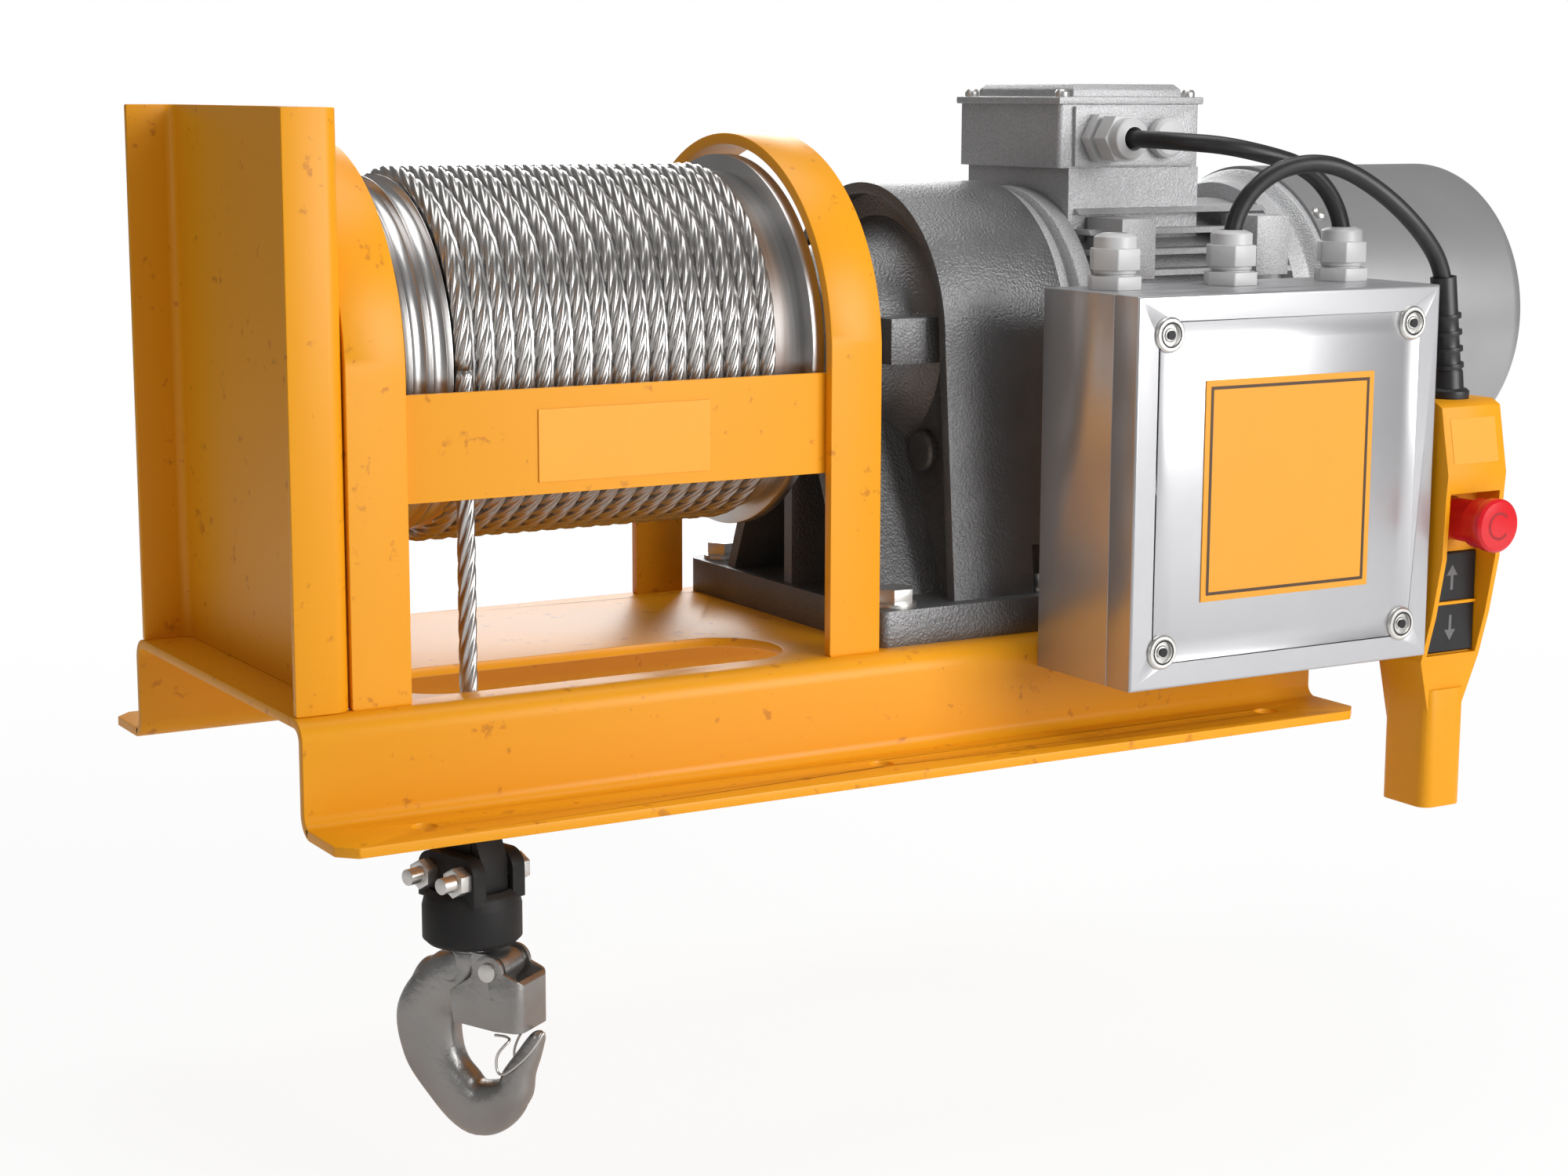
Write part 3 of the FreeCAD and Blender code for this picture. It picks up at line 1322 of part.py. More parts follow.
cut(
    bracket,
    draw(bracket, "XZ_Plane", circles=back_holes, offset=f"-{CASE_BACK} + 1"),
    "bracket_plate + 2",
    middle=False,
)
keep(bracket, "enclosure_bracket")
bracket_screws = [
    hex_screw(
        f"deck_screw_{number}", f"{BRACKET_SCREW}", "bracket_plate + base_plate + 6", x, BRACKET_SCREW_Y,
        f"{DECK} + bracket_plate"
    )
    for number, x in enumerate(BRACKET_SCREWS)
]
bracket_screws += [
    hex_screw(
        f"back_screw_{number}", "3", "bracket_plate + case_sheet + 4", x, f"{CASE_BACK} + bracket_plate", z,
        (1, 0, 0), -90
    )
    for number, (x, z) in enumerate(BACK_HOLES)
]
keep(group("deck_bolts", fastenings + bracket_screws), "deck_bolts")

# Inside the switch box: a mounting rail on the back wall with two contactors and a terminal strip on it.
RAIL_Y = f"({CASE_BACK} - case_sheet)"
rail = new_body("mounting_rail")
rail_outline = [
    (RAIL_Y, "-12.5"),
    (f"{RAIL_Y} - 6.5", "-12.5"),
    (f"{RAIL_Y} - 6.5", "-17.5"),
    (f"{RAIL_Y} - 7.5", "-17.5"),
    (f"{RAIL_Y} - 7.5", "-11.5"),
    (f"{RAIL_Y} - 1", "-11.5"),
    (f"{RAIL_Y} - 1", "11.5"),
    (f"{RAIL_Y} - 7.5", "11.5"),
    (f"{RAIL_Y} - 7.5", "17.5"),
    (f"{RAIL_Y} - 6.5", "17.5"),
    (f"{RAIL_Y} - 6.5", "12.5"),
    (RAIL_Y, "12.5"),
]
place(rail, z="case_low + case_height / 2")
pad(rail, draw(rail, "YZ_Plane", [rail_outline], offset="case_x - case_width / 2 + 20"), "case_width - 40")
keep(rail, "mounting_rail")


def contactor(name, x, width, height, depth):
    """A switch block with a stepped front, clipped on the rail."""
    body = new_body(name)
    step = f"{depth} * 0.62"
    face = f"({RAIL_Y} - 7.5)"
    side = [
        (face, f"-{height} / 2"),
        (face, f"{height} / 2"),
        (f"{face} - {step}", f"{height} / 2"),
        (f"{face} - {step}", f"{height} / 4"),
        (f"{face} - {depth}", f"{height} / 4"),
        (f"{face} - {depth}", f"-{height} / 4"),
        (f"{face} - {step}", f"-{height} / 4"),
        (f"{face} - {step}", f"-{height} / 2"),
    ]
    place(body, z="case_low + case_height / 2")
    pad(body, draw(body, "YZ_Plane", [side], offset=x), width)
    return body


blocks = [
    contactor("contactor_up", f"{CASE_LEFT} + 30", "45", "74", "46"),
    contactor("contactor_down", f"{CASE_LEFT} + 77", "45", "74", "46"),
    contactor("terminal_strip", f"{CASE_LEFT} + 130", "40", "48", "30"),
]
keep(group("contactors", blocks), "contactors")

# Pendant: a moulded grip with a wider head, a shrouded recess for its controls and a label field above.
PENDANT_BACK = "(pendant_front + pendant_depth)"
HEAD_LEFT, HEAD_RIGHT = "(pendant_x - pendant_width / 2)", "(pendant_x + pendant_width / 2)"
BUTTON_FACE = "(pendant_front + 3)"
BUTTON_LOW = "(stop_height - 74)"
RECESS_TOP = "(stop_height + 16)"
handle = new_body("pendant_body")
head_side = [
    (PENDANT_BACK, f"{BUTTON_LOW} - 4"),
    (PENDANT_BACK, "pendant_top"),
    ("pendant_front", "pendant_top"),
    ("pendant_front - 6", "pendant_top - 3"),
    ("pendant_front - 13", f"{RECESS_TOP} + 10"),
    ("pendant_front - 12", f"{RECESS_TOP} - 2"),
    ("pendant_front - 11", "stop_height - 20"),
    ("pendant_front - 5", f"{BUTTON_LOW} + 22"),
    ("pendant_front + 2", f"{BUTTON_LOW} - 4"),
]
pad(handle, draw(handle, "YZ_Plane", [head_side], offset=HEAD_LEFT), "pendant_width")
dress(
    handle,
    "Fillet",
    "6",
    lambda edge: abs(middle_of(edge).y - value(PENDANT_BACK)) < 0.01 and edge.BoundBox.ZLength > 100,
)
GRIP_LEFT, GRIP_RIGHT = "(pendant_x - 2 - grip_width / 2)", "(pendant_x - 2 + grip_width / 2)"
neck_outline = [
    (GRIP_LEFT, f"{BUTTON_LOW} - 24"),
    (GRIP_RIGHT, f"{BUTTON_LOW} - 24"),
    (HEAD_RIGHT, f"{BUTTON_LOW} - 3.5"),
    (HEAD_LEFT, f"{BUTTON_LOW} - 3.5"),
]
pad(handle, draw(handle, "XZ_Plane", [neck_outline], offset=f"-{PENDANT_BACK}"), "pendant_depth - 2")
grip = draw(
    handle,
    "XY_Plane",
    [rectangle(GRIP_LEFT, GRIP_RIGHT, "pendant_front", PENDANT_BACK)],
    offset="pendant_low",
)
pad(handle, grip, f"{BUTTON_LOW} - 20 - pendant_low")
dress(
    handle,
    "Fillet",
    "7",
    lambda edge: runs_along(edge, 2) and middle_of(edge).z < value(BUTTON_LOW) - 30,
)
recess_left = "(pendant_x - pendant_recess_width / 2)"
recess_right = "(pendant_x + pendant_recess_width / 2)"
recess_field = rectangle(recess_left, recess_right, f"{BUTTON_LOW} - 1", RECESS_TOP)
cut(handle, draw(handle, "XZ_Plane", [recess_field], offset=f"-{BUTTON_FACE} + 40"), "40 + 2", middle=False)
button_wells = rectangle(
    "pendant_x - button_width / 2 - part_gap",
    "pendant_x + button_width / 2 + part_gap",
    f"{BUTTON_LOW} - 0.5",
    f"{BUTTON_LOW} + 2 * button_height + 1.5",
)
cut(handle, draw(handle, "XZ_Plane", [button_wells], offset=f"-{BUTTON_FACE} + 1"), "16", middle=False)
stop_well = draw(
    handle, "XZ_Plane", circles=[("pendant_x", "stop_height", "stop_stem_radius + part_gap")], offset=f"-{BUTTON_FACE} + 1"
)
cut(handle, stop_well, "20", middle=False)
keep(handle, "pendant_body")

# Pendant controls: two push buttons that travel straight in, and a stop button on a plunger.
PLUNGER_FLOOR = f"({BUTTON_FACE} + 15)"


def push_button(name, low):
    """A square cap with a guide stem behind it."""
    body = new_body(name)
    left, right = "pendant_x - button_width / 2", "pendant_x + button_width / 2"
    cap = rectangle(left, right, low, f"{low} + button_height")
    pad(body, draw(body, "XZ_Plane", [cap], offset=f"-{BUTTON_FACE} - 8"), "8")
    dress(body, "Fillet", "1.2", lambda edge: abs(edge.BoundBox.YMax - value(BUTTON_FACE)) < 0.01)
    stem = rectangle("pendant_x - 5", "pendant_x + 5", f"{low} + button_height / 2 - 5", f"{low} + button_height / 2 + 5")
    length = f"{PLUNGER_FLOOR} - {BUTTON_FACE} - 8 - button_travel - part_gap"
    pad(body, draw(body, "XZ_Plane", [stem], offset=f"-{BUTTON_FACE} - 8 - ({length})"), length)
    return keep(body, name)


push_button("down_button", BUTTON_LOW)
push_button("up_button", f"{BUTTON_LOW} + button_height + 1")
stem_outline = [
    ("-19 + stop_travel + part_gap", "0"),
    ("stop_travel + 22", "0"),
    ("stop_travel + 22", "6"),
    ("stop_travel + 14", "6"),
    ("stop_travel + 14", "stop_stem_radius"),
    ("-19 + stop_travel + part_gap", "stop_stem_radius"),
]
keep(turned("estop_stem", stem_outline, "pendant_x", BUTTON_FACE, "stop_height", (0, 0, 1), -90), "estop_stem")
head_outline = [
    ("stop_travel + 15", "6 + fit_gap"),
    ("stop_travel + 22.5", "6 + fit_gap"),
    ("stop_travel + 22.5", "0"),
    ("stop_travel + 30", "0"),
    ("stop_travel + 30", "stop_radius - 1.5"),
    ("stop_travel + 28.5", "stop_radius"),
    ("stop_travel + 24", "stop_radius"),
    ("stop_travel + 22", "stop_radius - 1"),
    ("stop_travel + 15", "stop_radius - 1"),
]
keep(turned("estop_head", head_outline, "pendant_x", BUTTON_FACE, "stop_height", (0, 0, 1), -90), "estop_head")

# Ribbed rubber boot that guides the cable into the pendant's top; it leans a little with the cable.
BOOT_AT = ("pendant_x", "pendant_front + 11", "pendant_top")
LEAN = FreeCAD.Rotation(FreeCAD.Vector(0, 1, 0), -90 - SIZES["boot_lean"])
boot_bore = "cable_radius + fit_gap"
boot_outline = [
    ("2.5", "0"),
    ("boot_length - cable_entry", "0"),
    ("boot_length - cable_entry", boot_bore),
    ("boot_length - 12", boot_bore),
    ("boot_length - 8", "cable_radius + 1.2"),
    ("boot_length", "cable_radius + 1.2"),
    ("boot_length", "7"),
    ("boot_length - 18", "7"),
]
for number in range(4):
    at = f"boot_length - 20 - {9 * number}"
    boot_outline += [(at, "7"), (at, "8.6"), (f"{at} - 2.5", "8.6"), (f"{at} - 2.5", "7")]
boot_outline += [("14", "8"), ("2.5", "8")]
boot_collar = turned(
    "boot_collar",
    [("0", "0"), ("5.5", "0"), ("5.5", "9"), ("4", "10.5"), ("0", "10.5")],
    *BOOT_AT,
    (0, 1, 0),
    -90,
)
keep(join("pendant_boot", [boot_collar, turned("boot", boot_outline, *BOOT_AT, turn=LEAN)]), "pendant_boot")


def cord(name, radius, points):
    """A cable: straight runs joined by tangent arcs, each as large as its two runs allow."""
    at = [FreeCAD.Vector(*(value(each) for each in point)) for point in points]
    edges, radii, start = [], [], at[0]
    for before, corner, after in zip(at, at[1:], at[2:]):
        run_in, run_out = corner - before, after - corner
        half_turn = run_in.getAngle(run_out) / 2
        set_back = 0.45 * min(run_in.Length, run_out.Length)
        radii.append(set_back / math.tan(half_turn))
        unit_in = FreeCAD.Vector(run_in).normalize()
        unit_out = FreeCAD.Vector(run_out).normalize()
        first, last = corner - unit_in * set_back, corner + unit_out * set_back
        inward = (unit_out - unit_in).normalize()
        middle = corner + inward * radii[-1] * (1 / math.cos(half_turn) - 1)
        edges.append(Part.LineSegment(start, first).toShape())
        edges.append(Part.Arc(first, middle, last).toShape())
        start = last
    edges.append(Part.LineSegment(start, at[-1]).toShape())
    path = Part.Wire(edges)
    ring_line = Part.Circle(at[0], at[1] - at[0], value(radius))
    tube = path.makePipeShell([Part.Wire([ring_line.toShape()])], True, True)
    length = sum(edge.Length for edge in edges)
    expected = math.pi * value(radius) ** 2 * length
    if abs(tube.Volume / expected - 1) > 0.01:
        raise ValueError(name + ": the tube's volume doesn't match its length")
    listed = ", ".join(f"{each:.0f}" for each in radii)
    print(f"{name}: length {length:.0f} mm, radii {listed}")
    feature = doc.addObject("Part::Feature", name)
    feature.Shape = tube
    return keep(feature, name)


# Motor cable: from the terminal box's gland out to the front, then down into the switch box's right gland.
GLAND_REACH = "29"
BOX_EXIT = f"({PLATE_FACE} - {GLAND_REACH})"
GLAND_TOP = f"({CASE_TOP} + {GLAND_REACH})"
cord(
    "motor_cable",
    "cable_radius",
    [
        (GLAND_X, f"{BOX_EXIT} + 16", GLAND_Z),
        (GLAND_X, f"{BOX_EXIT} - 9.6", GLAND_Z),
        ("205", "-114.5", "313.7"),
        ("219.4", "-130.9", "312.2"),
        ("241.5", "-141", "307"),
        ("262.4", "-143.4", "301.3"),
        ("278.6", "-145.5", "289.1"),
        (GLAND_XS[2], "cable_gland_y", f"{GLAND_TOP} + 1.6"),
        (GLAND_XS[2], "cable_gland_y", f"{GLAND_TOP} - 18"),
    ],
)

# Pendant cable: up out of the switch box's middle gland and over to the front, down into the pendant's boot.
boot_way = LEAN.multVec(FreeCAD.Vector(1, 0, 0))


def on_boot(reach):
    """A point on the boot's leaning axis."""
    return tuple(f"{start} + ({boot_way[i]:.6f}) * ({reach})" for i, start in enumerate(BOOT_AT))


cord(
    "pendant_cable",
    "cable_radius",
    [
        (GLAND_XS[1], "cable_gland_y", f"{GLAND_TOP} - 18"),
        (GLAND_XS[1], "cable_gland_y", f"{GLAND_TOP} + 1.6"),
        ("219.3", "-150.8", "287.6"),
        ("233.5", "-156.2", "299.6"),
        ("252", "-162.9", "304"),
        ("271", "-169.3", "300.2"),
        ("293.5", "-178.5", "284.5"),
        ("313.8", "-183", "265.5"),
        on_boot("boot_length + 4.5"),
        on_boot("boot_length - cable_entry + 1"),
    ],
)

# Rope fall: the rope's free part, from the drum's front side down through the deck to the socket.
keep(rod("rope_fall", ROPE, f"{AXIS} - socket_top", "rope_fall_x", FALL_Y, "socket_top", (0, 0, 1), 0), "rope_fall")


def swung(turn, out, across, up):
    """A point below the rope, by its reach and side offset in a plane turned about the rope."""
    x = f"rope_fall_x + ({out}) * cos({turn}) - ({across}) * sin({turn})"
    y = f"{FALL_Y} + ({out}) * sin({turn}) + ({across}) * cos({turn})"
    return x, y, up


BLOCK_TURN = FreeCAD.Rotation(FreeCAD.Vector(0, 0, 1), SIZES["block_turn"])
HOOK_TURN = FreeCAD.Rotation(FreeCAD.Vector(0, 0, 1), SIZES["hook_turn"])
BOLT_TURN = BLOCK_TURN * FreeCAD.Rotation(FreeCAD.Vector(0, 1, 0), 90)
PIN_TURN = HOOK_TURN * FreeCAD.Rotation(FreeCAD.Vector(1, 0, 0), -90)
BOLT_Z = "(ear_top - 11)"
EAR_FACE = "(ear_gap / 2 + ear_plate)"

# Hook bell: a turned cup with two bolted ears on its rim.
bell_outline = [
    ("0", "shank_radius + fit_gap"),
    ("0", "bell_radius - 2.5"),
    ("2.5", "bell_radius"),
    ("bell_height - 9", "bell_radius"),
    ("bell_height - 3", "bell_radius - 1.5"),
    ("bell_height", "bell_radius - 4"),
    ("bell_height", "bell_radius - bell_wall"),
    ("bell_wall", "bell_radius - bell_wall"),
    ("bell_wall", "shank_radius + fit_gap"),
]
cup_body = turned("hook_bell", bell_outline, "rope_fall_x", FALL_Y, "bell_low", (0, 1, 0), -90)
ears = []
ear_low = "bell_low + bell_height - 5"
for number, start in enumerate(("ear_gap / 2", f"-{EAR_FACE}")):
    ear = new_body(f"hook_ear_{number}")
    across = "ear_width / 2"
    ear_outline = [
        (f"-{across}", ear_low),
        (across, ear_low),
        (across, "ear_top - 9", f"{across} - 9", "ear_top - 9", 1),
        (f"{across} - 9", "ear_top"),
        (f"-{across} + 9", "ear_top", f"-{across} + 9", "ear_top - 9", 1),
        (f"-{across}", "ear_top - 9"),
    ]
    pad(ear, draw(ear, "YZ_Plane", [ear_outline], offset=start), "ear_plate")
    ears.append(place(ear, "rope_fall_x", FALL_Y, turn=BLOCK_TURN))
bell = join("hook_bell", [cup_body] + ears)
for number, side in enumerate((-1, 1)):
    spot = swung("block_turn", f"-{EAR_FACE} - 1", f"{side} * block_bolt_spread", BOLT_Z)
    hole = rod(f"ear_hole_{number}", "block_bolt_radius + bolt_gap", f"2 * {EAR_FACE} + 2", *spot, turn=BOLT_TURN)
    bell = take(f"hook_bell_{number}", bell, hole)
keep(bell, "hook_bell")

# Rope socket: the block between the ears that grips the rope's end, held by the two cross bolts.
socket = new_body("rope_socket")
socket_low = "bell_low + 22"
socket_outline = [
    ("-17", socket_low),
    ("17", socket_low),
    ("17", f"{BOLT_Z} + 7"),
    ("9", "socket_top"),
    ("-9", "socket_top"),
    ("-17", f"{BOLT_Z} + 7"),
]
pad(socket, draw(socket, "YZ_Plane", [socket_outline]), "ear_gap - 2 * part_gap", middle=True)
socket_holes = [(f"{side} * block_bolt_spread", BOLT_Z, "block_bolt_radius + fit_gap") for side in (-1, 1)]
cut(socket, draw(socket, "YZ_Plane", circles=socket_holes))
place(socket, "rope_fall_x", FALL_Y, turn=BLOCK_TURN)
keep(socket, "rope_socket")

cross_bolts = []
for number, side in enumerate((-1, 1)):
    spread = f"{side} * block_bolt_spread"
    head_at = swung("block_turn", EAR_FACE, spread, BOLT_Z)
    nut_at = swung("block_turn", f"-{EAR_FACE} - 6.5", spread, BOLT_Z)
    bore_at = swung("block_turn", f"-{EAR_FACE} - 7.5", spread, BOLT_Z)
    bolt = hex_screw(f"bell_bolt_{number}", "block_bolt_radius", f"2 * {EAR_FACE} + 14", *head_at, turn=BOLT_TURN)
    nut = take(
        f"bell_nut_{number}",
        hexagon(f"bell_nut_{number}", "block_bolt_radius * 1.85", "6.5", *nut_at, turn=BOLT_TURN),
        rod(f"bell_nut_bore_{number}", "block_bolt_radius + fit_gap", "9", *bore_at, turn=BOLT_TURN),
    )
    cross_bolts += [bolt, nut]
keep(group("bell_bolts", cross_bolts), "bell_bolts")

# Swivel nut: a collared nut on the hook's shank that rests on the bell's floor.
nut_outline = [
    ("0.1", "shank_radius + fit_gap"),
    ("15", "shank_radius + fit_gap"),
    ("15", "nut_radius"),
    ("4.5", "nut_radius"),
    ("4.5", "nut_radius + 3"),
    ("0.1", "nut_radius + 3"),
]
keep(
    turned("swivel_nut", nut_outline, "rope_fall_x", FALL_Y, "bell_low + bell_wall", (0, 1, 0), -90), "swivel_nut"
)

# Hook forging: oval sections along the bowl, each with its reach, height, depth, thickness and direction,
# with the round shank on top and a lug for the latch's pin.
bowl = [
    (0, -75, 21, 21, -90),
    (-9, -90, 30, 22, -125),
    (-25, -108, 27.6, 20, -92),
    (-23.8, -130, 25, 20, -75),
    (-15, -145, 22.4, 20, -55),
    (3, -158, 24, 19, 0),
    (22, -147, 17, 17, 55),
    (25, -135, 14, 14, 80),
    (30, -125, 9, 10, 75),
    (35, -115, 4, 5, 65),
]
sections = []
for reach, height, depth, thickness, direction in bowl:
    side_x, side_z = math.sin(math.radians(direction)), -math.cos(math.radians(direction))
    points = []
    for step in range(12):
        turn = 2 * math.pi * step / 12
        out, across = depth / 2 * math.cos(turn), thickness / 2 * math.sin(turn)
        points.append(FreeCAD.Vector(reach + out * side_x, across, height + out * side_z))
    curve = Part.BSplineCurve()
    curve.interpolate(Points=points, PeriodicFlag=True)
    sections.append(Part.Wire([curve.toShape()]))
bowl_item = doc.addObject("Part::Feature", "hook_bowl")
bowl_item.Shape = Part.makeLoft(sections, True, False)
place(bowl_item, "rope_fall_x", FALL_Y, turn=HOOK_TURN)
shank_low = "(latch_pivot_z - 4)"
shank = rod("hook_shank", "shank_radius", f"bell_low + bell_wall + 15.5 - {shank_low}", "rope_fall_x", FALL_Y, shank_low, (0, 0, 1), 0)
lug_box = box("hook_lug", "0", "0", "0", "latch_pivot_out", "18", "14")
place(lug_box, *swung("hook_turn", "0", "-9", "latch_pivot_z - 7"), turn=HOOK_TURN)
lug_end = rod(
    "hook_lug_end", "7", "18", *swung("hook_turn", "latch_pivot_out", "-9", "latch_pivot_z"), turn=PIN_TURN
)
forging = take(
    "hook_forging",
    join("hook_forging", [bowl_item, shank, lug_box, lug_end]),
    rod(
        "hook_pin_hole", "latch_pin_radius + fit_gap", "20",
        *swung("hook_turn", "latch_pivot_out", "-10", "latch_pivot_z"), turn=PIN_TURN
    ),
)
keep(forging, "hook_forging")

# Safety latch: a sheet channel that hangs from the lug and closes the hook's mouth.
latch = new_body("hook_latch")
front = "(latch_pivot_out + 18)"
latch_outline = [
    (f"{front} - 2", "latch_pivot_z - 3"),
    (front, "latch_pivot_z - 5"),
    (front, "latch_pivot_z - 29"),
    ("20", "latch_pivot_z - 29.5"),
    ("-3", "latch_pivot_z - 27.5"),
    ("-5", "latch_pivot_z - 12"),
    ("latch_pivot_out - 10.5", "latch_pivot_z - 4"),
    ("latch_pivot_out - 8", "latch_pivot_z", "latch_pivot_out", "latch_pivot_z", -1),
    ("latch_pivot_out + 8", "latch_pivot_z"),
]
pad(latch, draw(latch, "XZ_Plane", [latch_outline]), "latch_width", middle=True)
dress(
    latch,
    "Fillet",
    "5",
    lambda edge: runs_along(edge, 2) and abs(middle_of(edge).x - value(front)) < 0.01,
)
latch_hollow = rectangle("-60", f"{front} - latch_sheet", "-latch_width / 2 + latch_sheet", "latch_width / 2 - latch_sheet")
cut(latch, draw(latch, "XY_Plane", [latch_hollow]))
cut(latch, draw(latch, "XZ_Plane", circles=[("latch_pivot_out", "latch_pivot_z", "latch_pin_radius + fit_gap")]))
place(latch, "rope_fall_x", FALL_Y, turn=HOOK_TURN)
keep(latch, "hook_latch")

# Latch pin with a flat head at each end, and the latch's spring wound round it beside the lug.
pin_outline = [
    ("-latch_width / 2 - 1.8", "0"),
    ("latch_width / 2 + 1.8", "0"),
    ("latch_width / 2 + 1.8", "latch_pin_radius + 1"),
    ("latch_width / 2 + 0.1", "latch_pin_radius + 1"),
    ("latch_width / 2 + 0.1", "latch_pin_radius"),
    ("-latch_width / 2 - 0.1", "latch_pin_radius"),
    ("-latch_width / 2 - 0.1", "latch_pin_radius + 1"),
    ("-latch_width / 2 - 1.8", "latch_pin_radius + 1"),
]
ACROSS_HOOK = HOOK_TURN * FreeCAD.Rotation(FreeCAD.Vector(0, 0, 1), 90)
pivot = swung("hook_turn", "latch_pivot_out", "0", "latch_pivot_z")
keep(turned("latch_pin", pin_outline, *pivot, turn=ACROSS_HOOK), "latch_pin")
coils = []
for number, across in enumerate((-11, -10, 10, 11)):
    coil = doc.addObject("Part::Torus", "latch_coil")
    bind(coil, Radius1="latch_pin_radius + 0.75", Radius2="0.5")
    place(coil, *swung("hook_turn", "latch_pivot_out", f"{across}", "latch_pivot_z"), turn=PIN_TURN)
    coils.append(coil)
keep(group("latch_spring", coils), "latch_spring")

# Check every object, then write each piece to its own file.
doc.recompute()
for item in doc.Objects:
    if {"Invalid", "Error"} & set(item.State):
        raise ValueError(item.Name + " is not valid")
os.makedirs("parts", exist_ok=True)
for item in parts:
    if item.Shape.isNull() or not item.Shape.isValid():
        raise ValueError(item.Label + " has no valid shape")
    item.Shape.exportStep(os.path.join("parts", item.Label + ".step"))
print(len(parts), "pieces written")
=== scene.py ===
import math

import bpy
import numpy as np
from mathutils import Matrix, Vector


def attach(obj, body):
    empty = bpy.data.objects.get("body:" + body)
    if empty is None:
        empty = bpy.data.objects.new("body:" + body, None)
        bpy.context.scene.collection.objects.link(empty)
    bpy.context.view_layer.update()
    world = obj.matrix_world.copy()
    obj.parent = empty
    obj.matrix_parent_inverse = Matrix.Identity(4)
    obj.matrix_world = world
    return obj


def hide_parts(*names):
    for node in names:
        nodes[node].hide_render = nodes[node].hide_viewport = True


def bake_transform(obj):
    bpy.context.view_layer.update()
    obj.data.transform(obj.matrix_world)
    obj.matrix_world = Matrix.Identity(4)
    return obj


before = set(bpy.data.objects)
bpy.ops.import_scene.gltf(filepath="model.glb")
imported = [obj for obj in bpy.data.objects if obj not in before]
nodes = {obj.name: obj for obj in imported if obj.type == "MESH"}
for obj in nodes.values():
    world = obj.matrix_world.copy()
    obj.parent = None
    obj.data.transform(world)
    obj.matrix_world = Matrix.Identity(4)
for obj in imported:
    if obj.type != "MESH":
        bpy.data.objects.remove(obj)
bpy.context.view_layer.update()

# The studio: a camera at hand height a little over a metre from the hoist, a pale floor and soft lamps.
# The hoist hangs by its flanges, so the floor lies below its hook.
camera_data = bpy.data.cameras.new("camera")
camera_data.sensor_width = 36
camera_data.lens = 65.48
camera_data.clip_start, camera_data.clip_end = 0.01, 60
camera = bpy.data.objects.new("camera", camera_data)
camera_place = (-0.75804, -1.3263, 0.3396)
right = Vector((0.861, -0.5087, 0.0032))
up = Vector((0.0846, 0.1494, 0.9852))
ahead = Vector((0.5016, 0.8479, -0.1716))
camera_turn = Matrix((right, up, -ahead)).transposed()
camera.matrix_world = Matrix.Translation(camera_place) @ camera_turn.to_4x4()
bpy.context.scene.collection.objects.link(camera)
bpy.context.scene.camera = camera
bpy.context.scene.view_settings.view_transform = "Standard"

sky = bpy.data.worlds.new("studio")
bpy.context.scene.world = sky
sky.use_nodes = True
sky_nodes, sky_links = sky.node_tree.nodes, sky.node_tree.links
sky_nodes.clear()
rays = sky_nodes.new("ShaderNodeLightPath")
seen = sky_nodes.new("ShaderNodeMath")
seen.operation = "MAXIMUM"
strength = sky_nodes.new("ShaderNodeMapRange")
strength.inputs["To Min"].default_value = 0.2
strength.inputs["To Max"].default_value = 1.0
backdrop = sky_nodes.new("ShaderNodeBackground")
backdrop.inputs["Color"].default_value = (1, 1, 1, 1)
sky_out = sky_nodes.new("ShaderNodeOutputWorld")
sky_links.new(rays.outputs["Is Camera Ray"], seen.inputs[0])
sky_links.new(rays.outputs["Is Transmission Ray"], seen.inputs[1])
sky_links.new(seen.outputs[0], strength.inputs["Value"])
sky_links.new(strength.outputs["Result"], backdrop.inputs["Strength"])
sky_links.new(backdrop.outputs[0], sky_out.inputs["Surface"])

floor_size, floor_centre = 40, (0.1, 0, -0.2)
bpy.ops.mesh.primitive_plane_add(size=floor_size, location=floor_centre)
floor = bpy.context.object
floor.name = "floor"
floor_paint = bpy.data.materials.new("floor_paint")
floor_paint.use_nodes = True
floor_nodes, floor_links = floor_paint.node_tree.nodes, floor_paint.node_tree.links
floor_nodes.clear()
matt = floor_nodes.new("ShaderNodeBsdfDiffuse")
matt.inputs["Color"].default_value = (0.9, 0.9, 0.9, 1)
glow = floor_nodes.new("ShaderNodeEmission")
glow.inputs["Color"].default_value = (1, 1, 1, 1)
floor_rays = floor_nodes.new("ShaderNodeLightPath")
floor_share = floor_nodes.new("ShaderNodeMath")
floor_share.operation = "MULTIPLY"
floor_place = floor_nodes.new("ShaderNodeTexCoord")
floor_reach = floor_nodes.new("ShaderNodeVectorMath")
floor_reach.operation = "LENGTH"
floor_fade = floor_nodes.new("ShaderNodeMapRange")
floor_fade.inputs["From Min"].default_value = 0.5
floor_fade.inputs["From Max"].default_value = 1.6
floor_fade.inputs["To Min"].default_value = 0.88
floor_fade.inputs["To Max"].default_value = 1.0
floor_mix = floor_nodes.new("ShaderNodeMixShader")
floor_out = floor_nodes.new("ShaderNodeOutputMaterial")
floor_links.new(floor_rays.outputs["Is Camera Ray"], floor_share.inputs[0])
floor_links.new(floor_place.outputs["Object"], floor_reach.inputs[0])
floor_links.new(floor_reach.outputs["Value"], floor_fade.inputs["Value"])
floor_links.new(floor_fade.outputs["Result"], floor_share.inputs[1])
floor_links.new(floor_share.outputs[0], floor_mix.inputs["Fac"])
floor_links.new(matt.outputs[0], floor_mix.inputs[1])
floor_links.new(glow.outputs[0], floor_mix.inputs[2])
floor_links.new(floor_mix.outputs[0], floor_out.inputs["Surface"])
floor.data.materials.append(floor_paint)

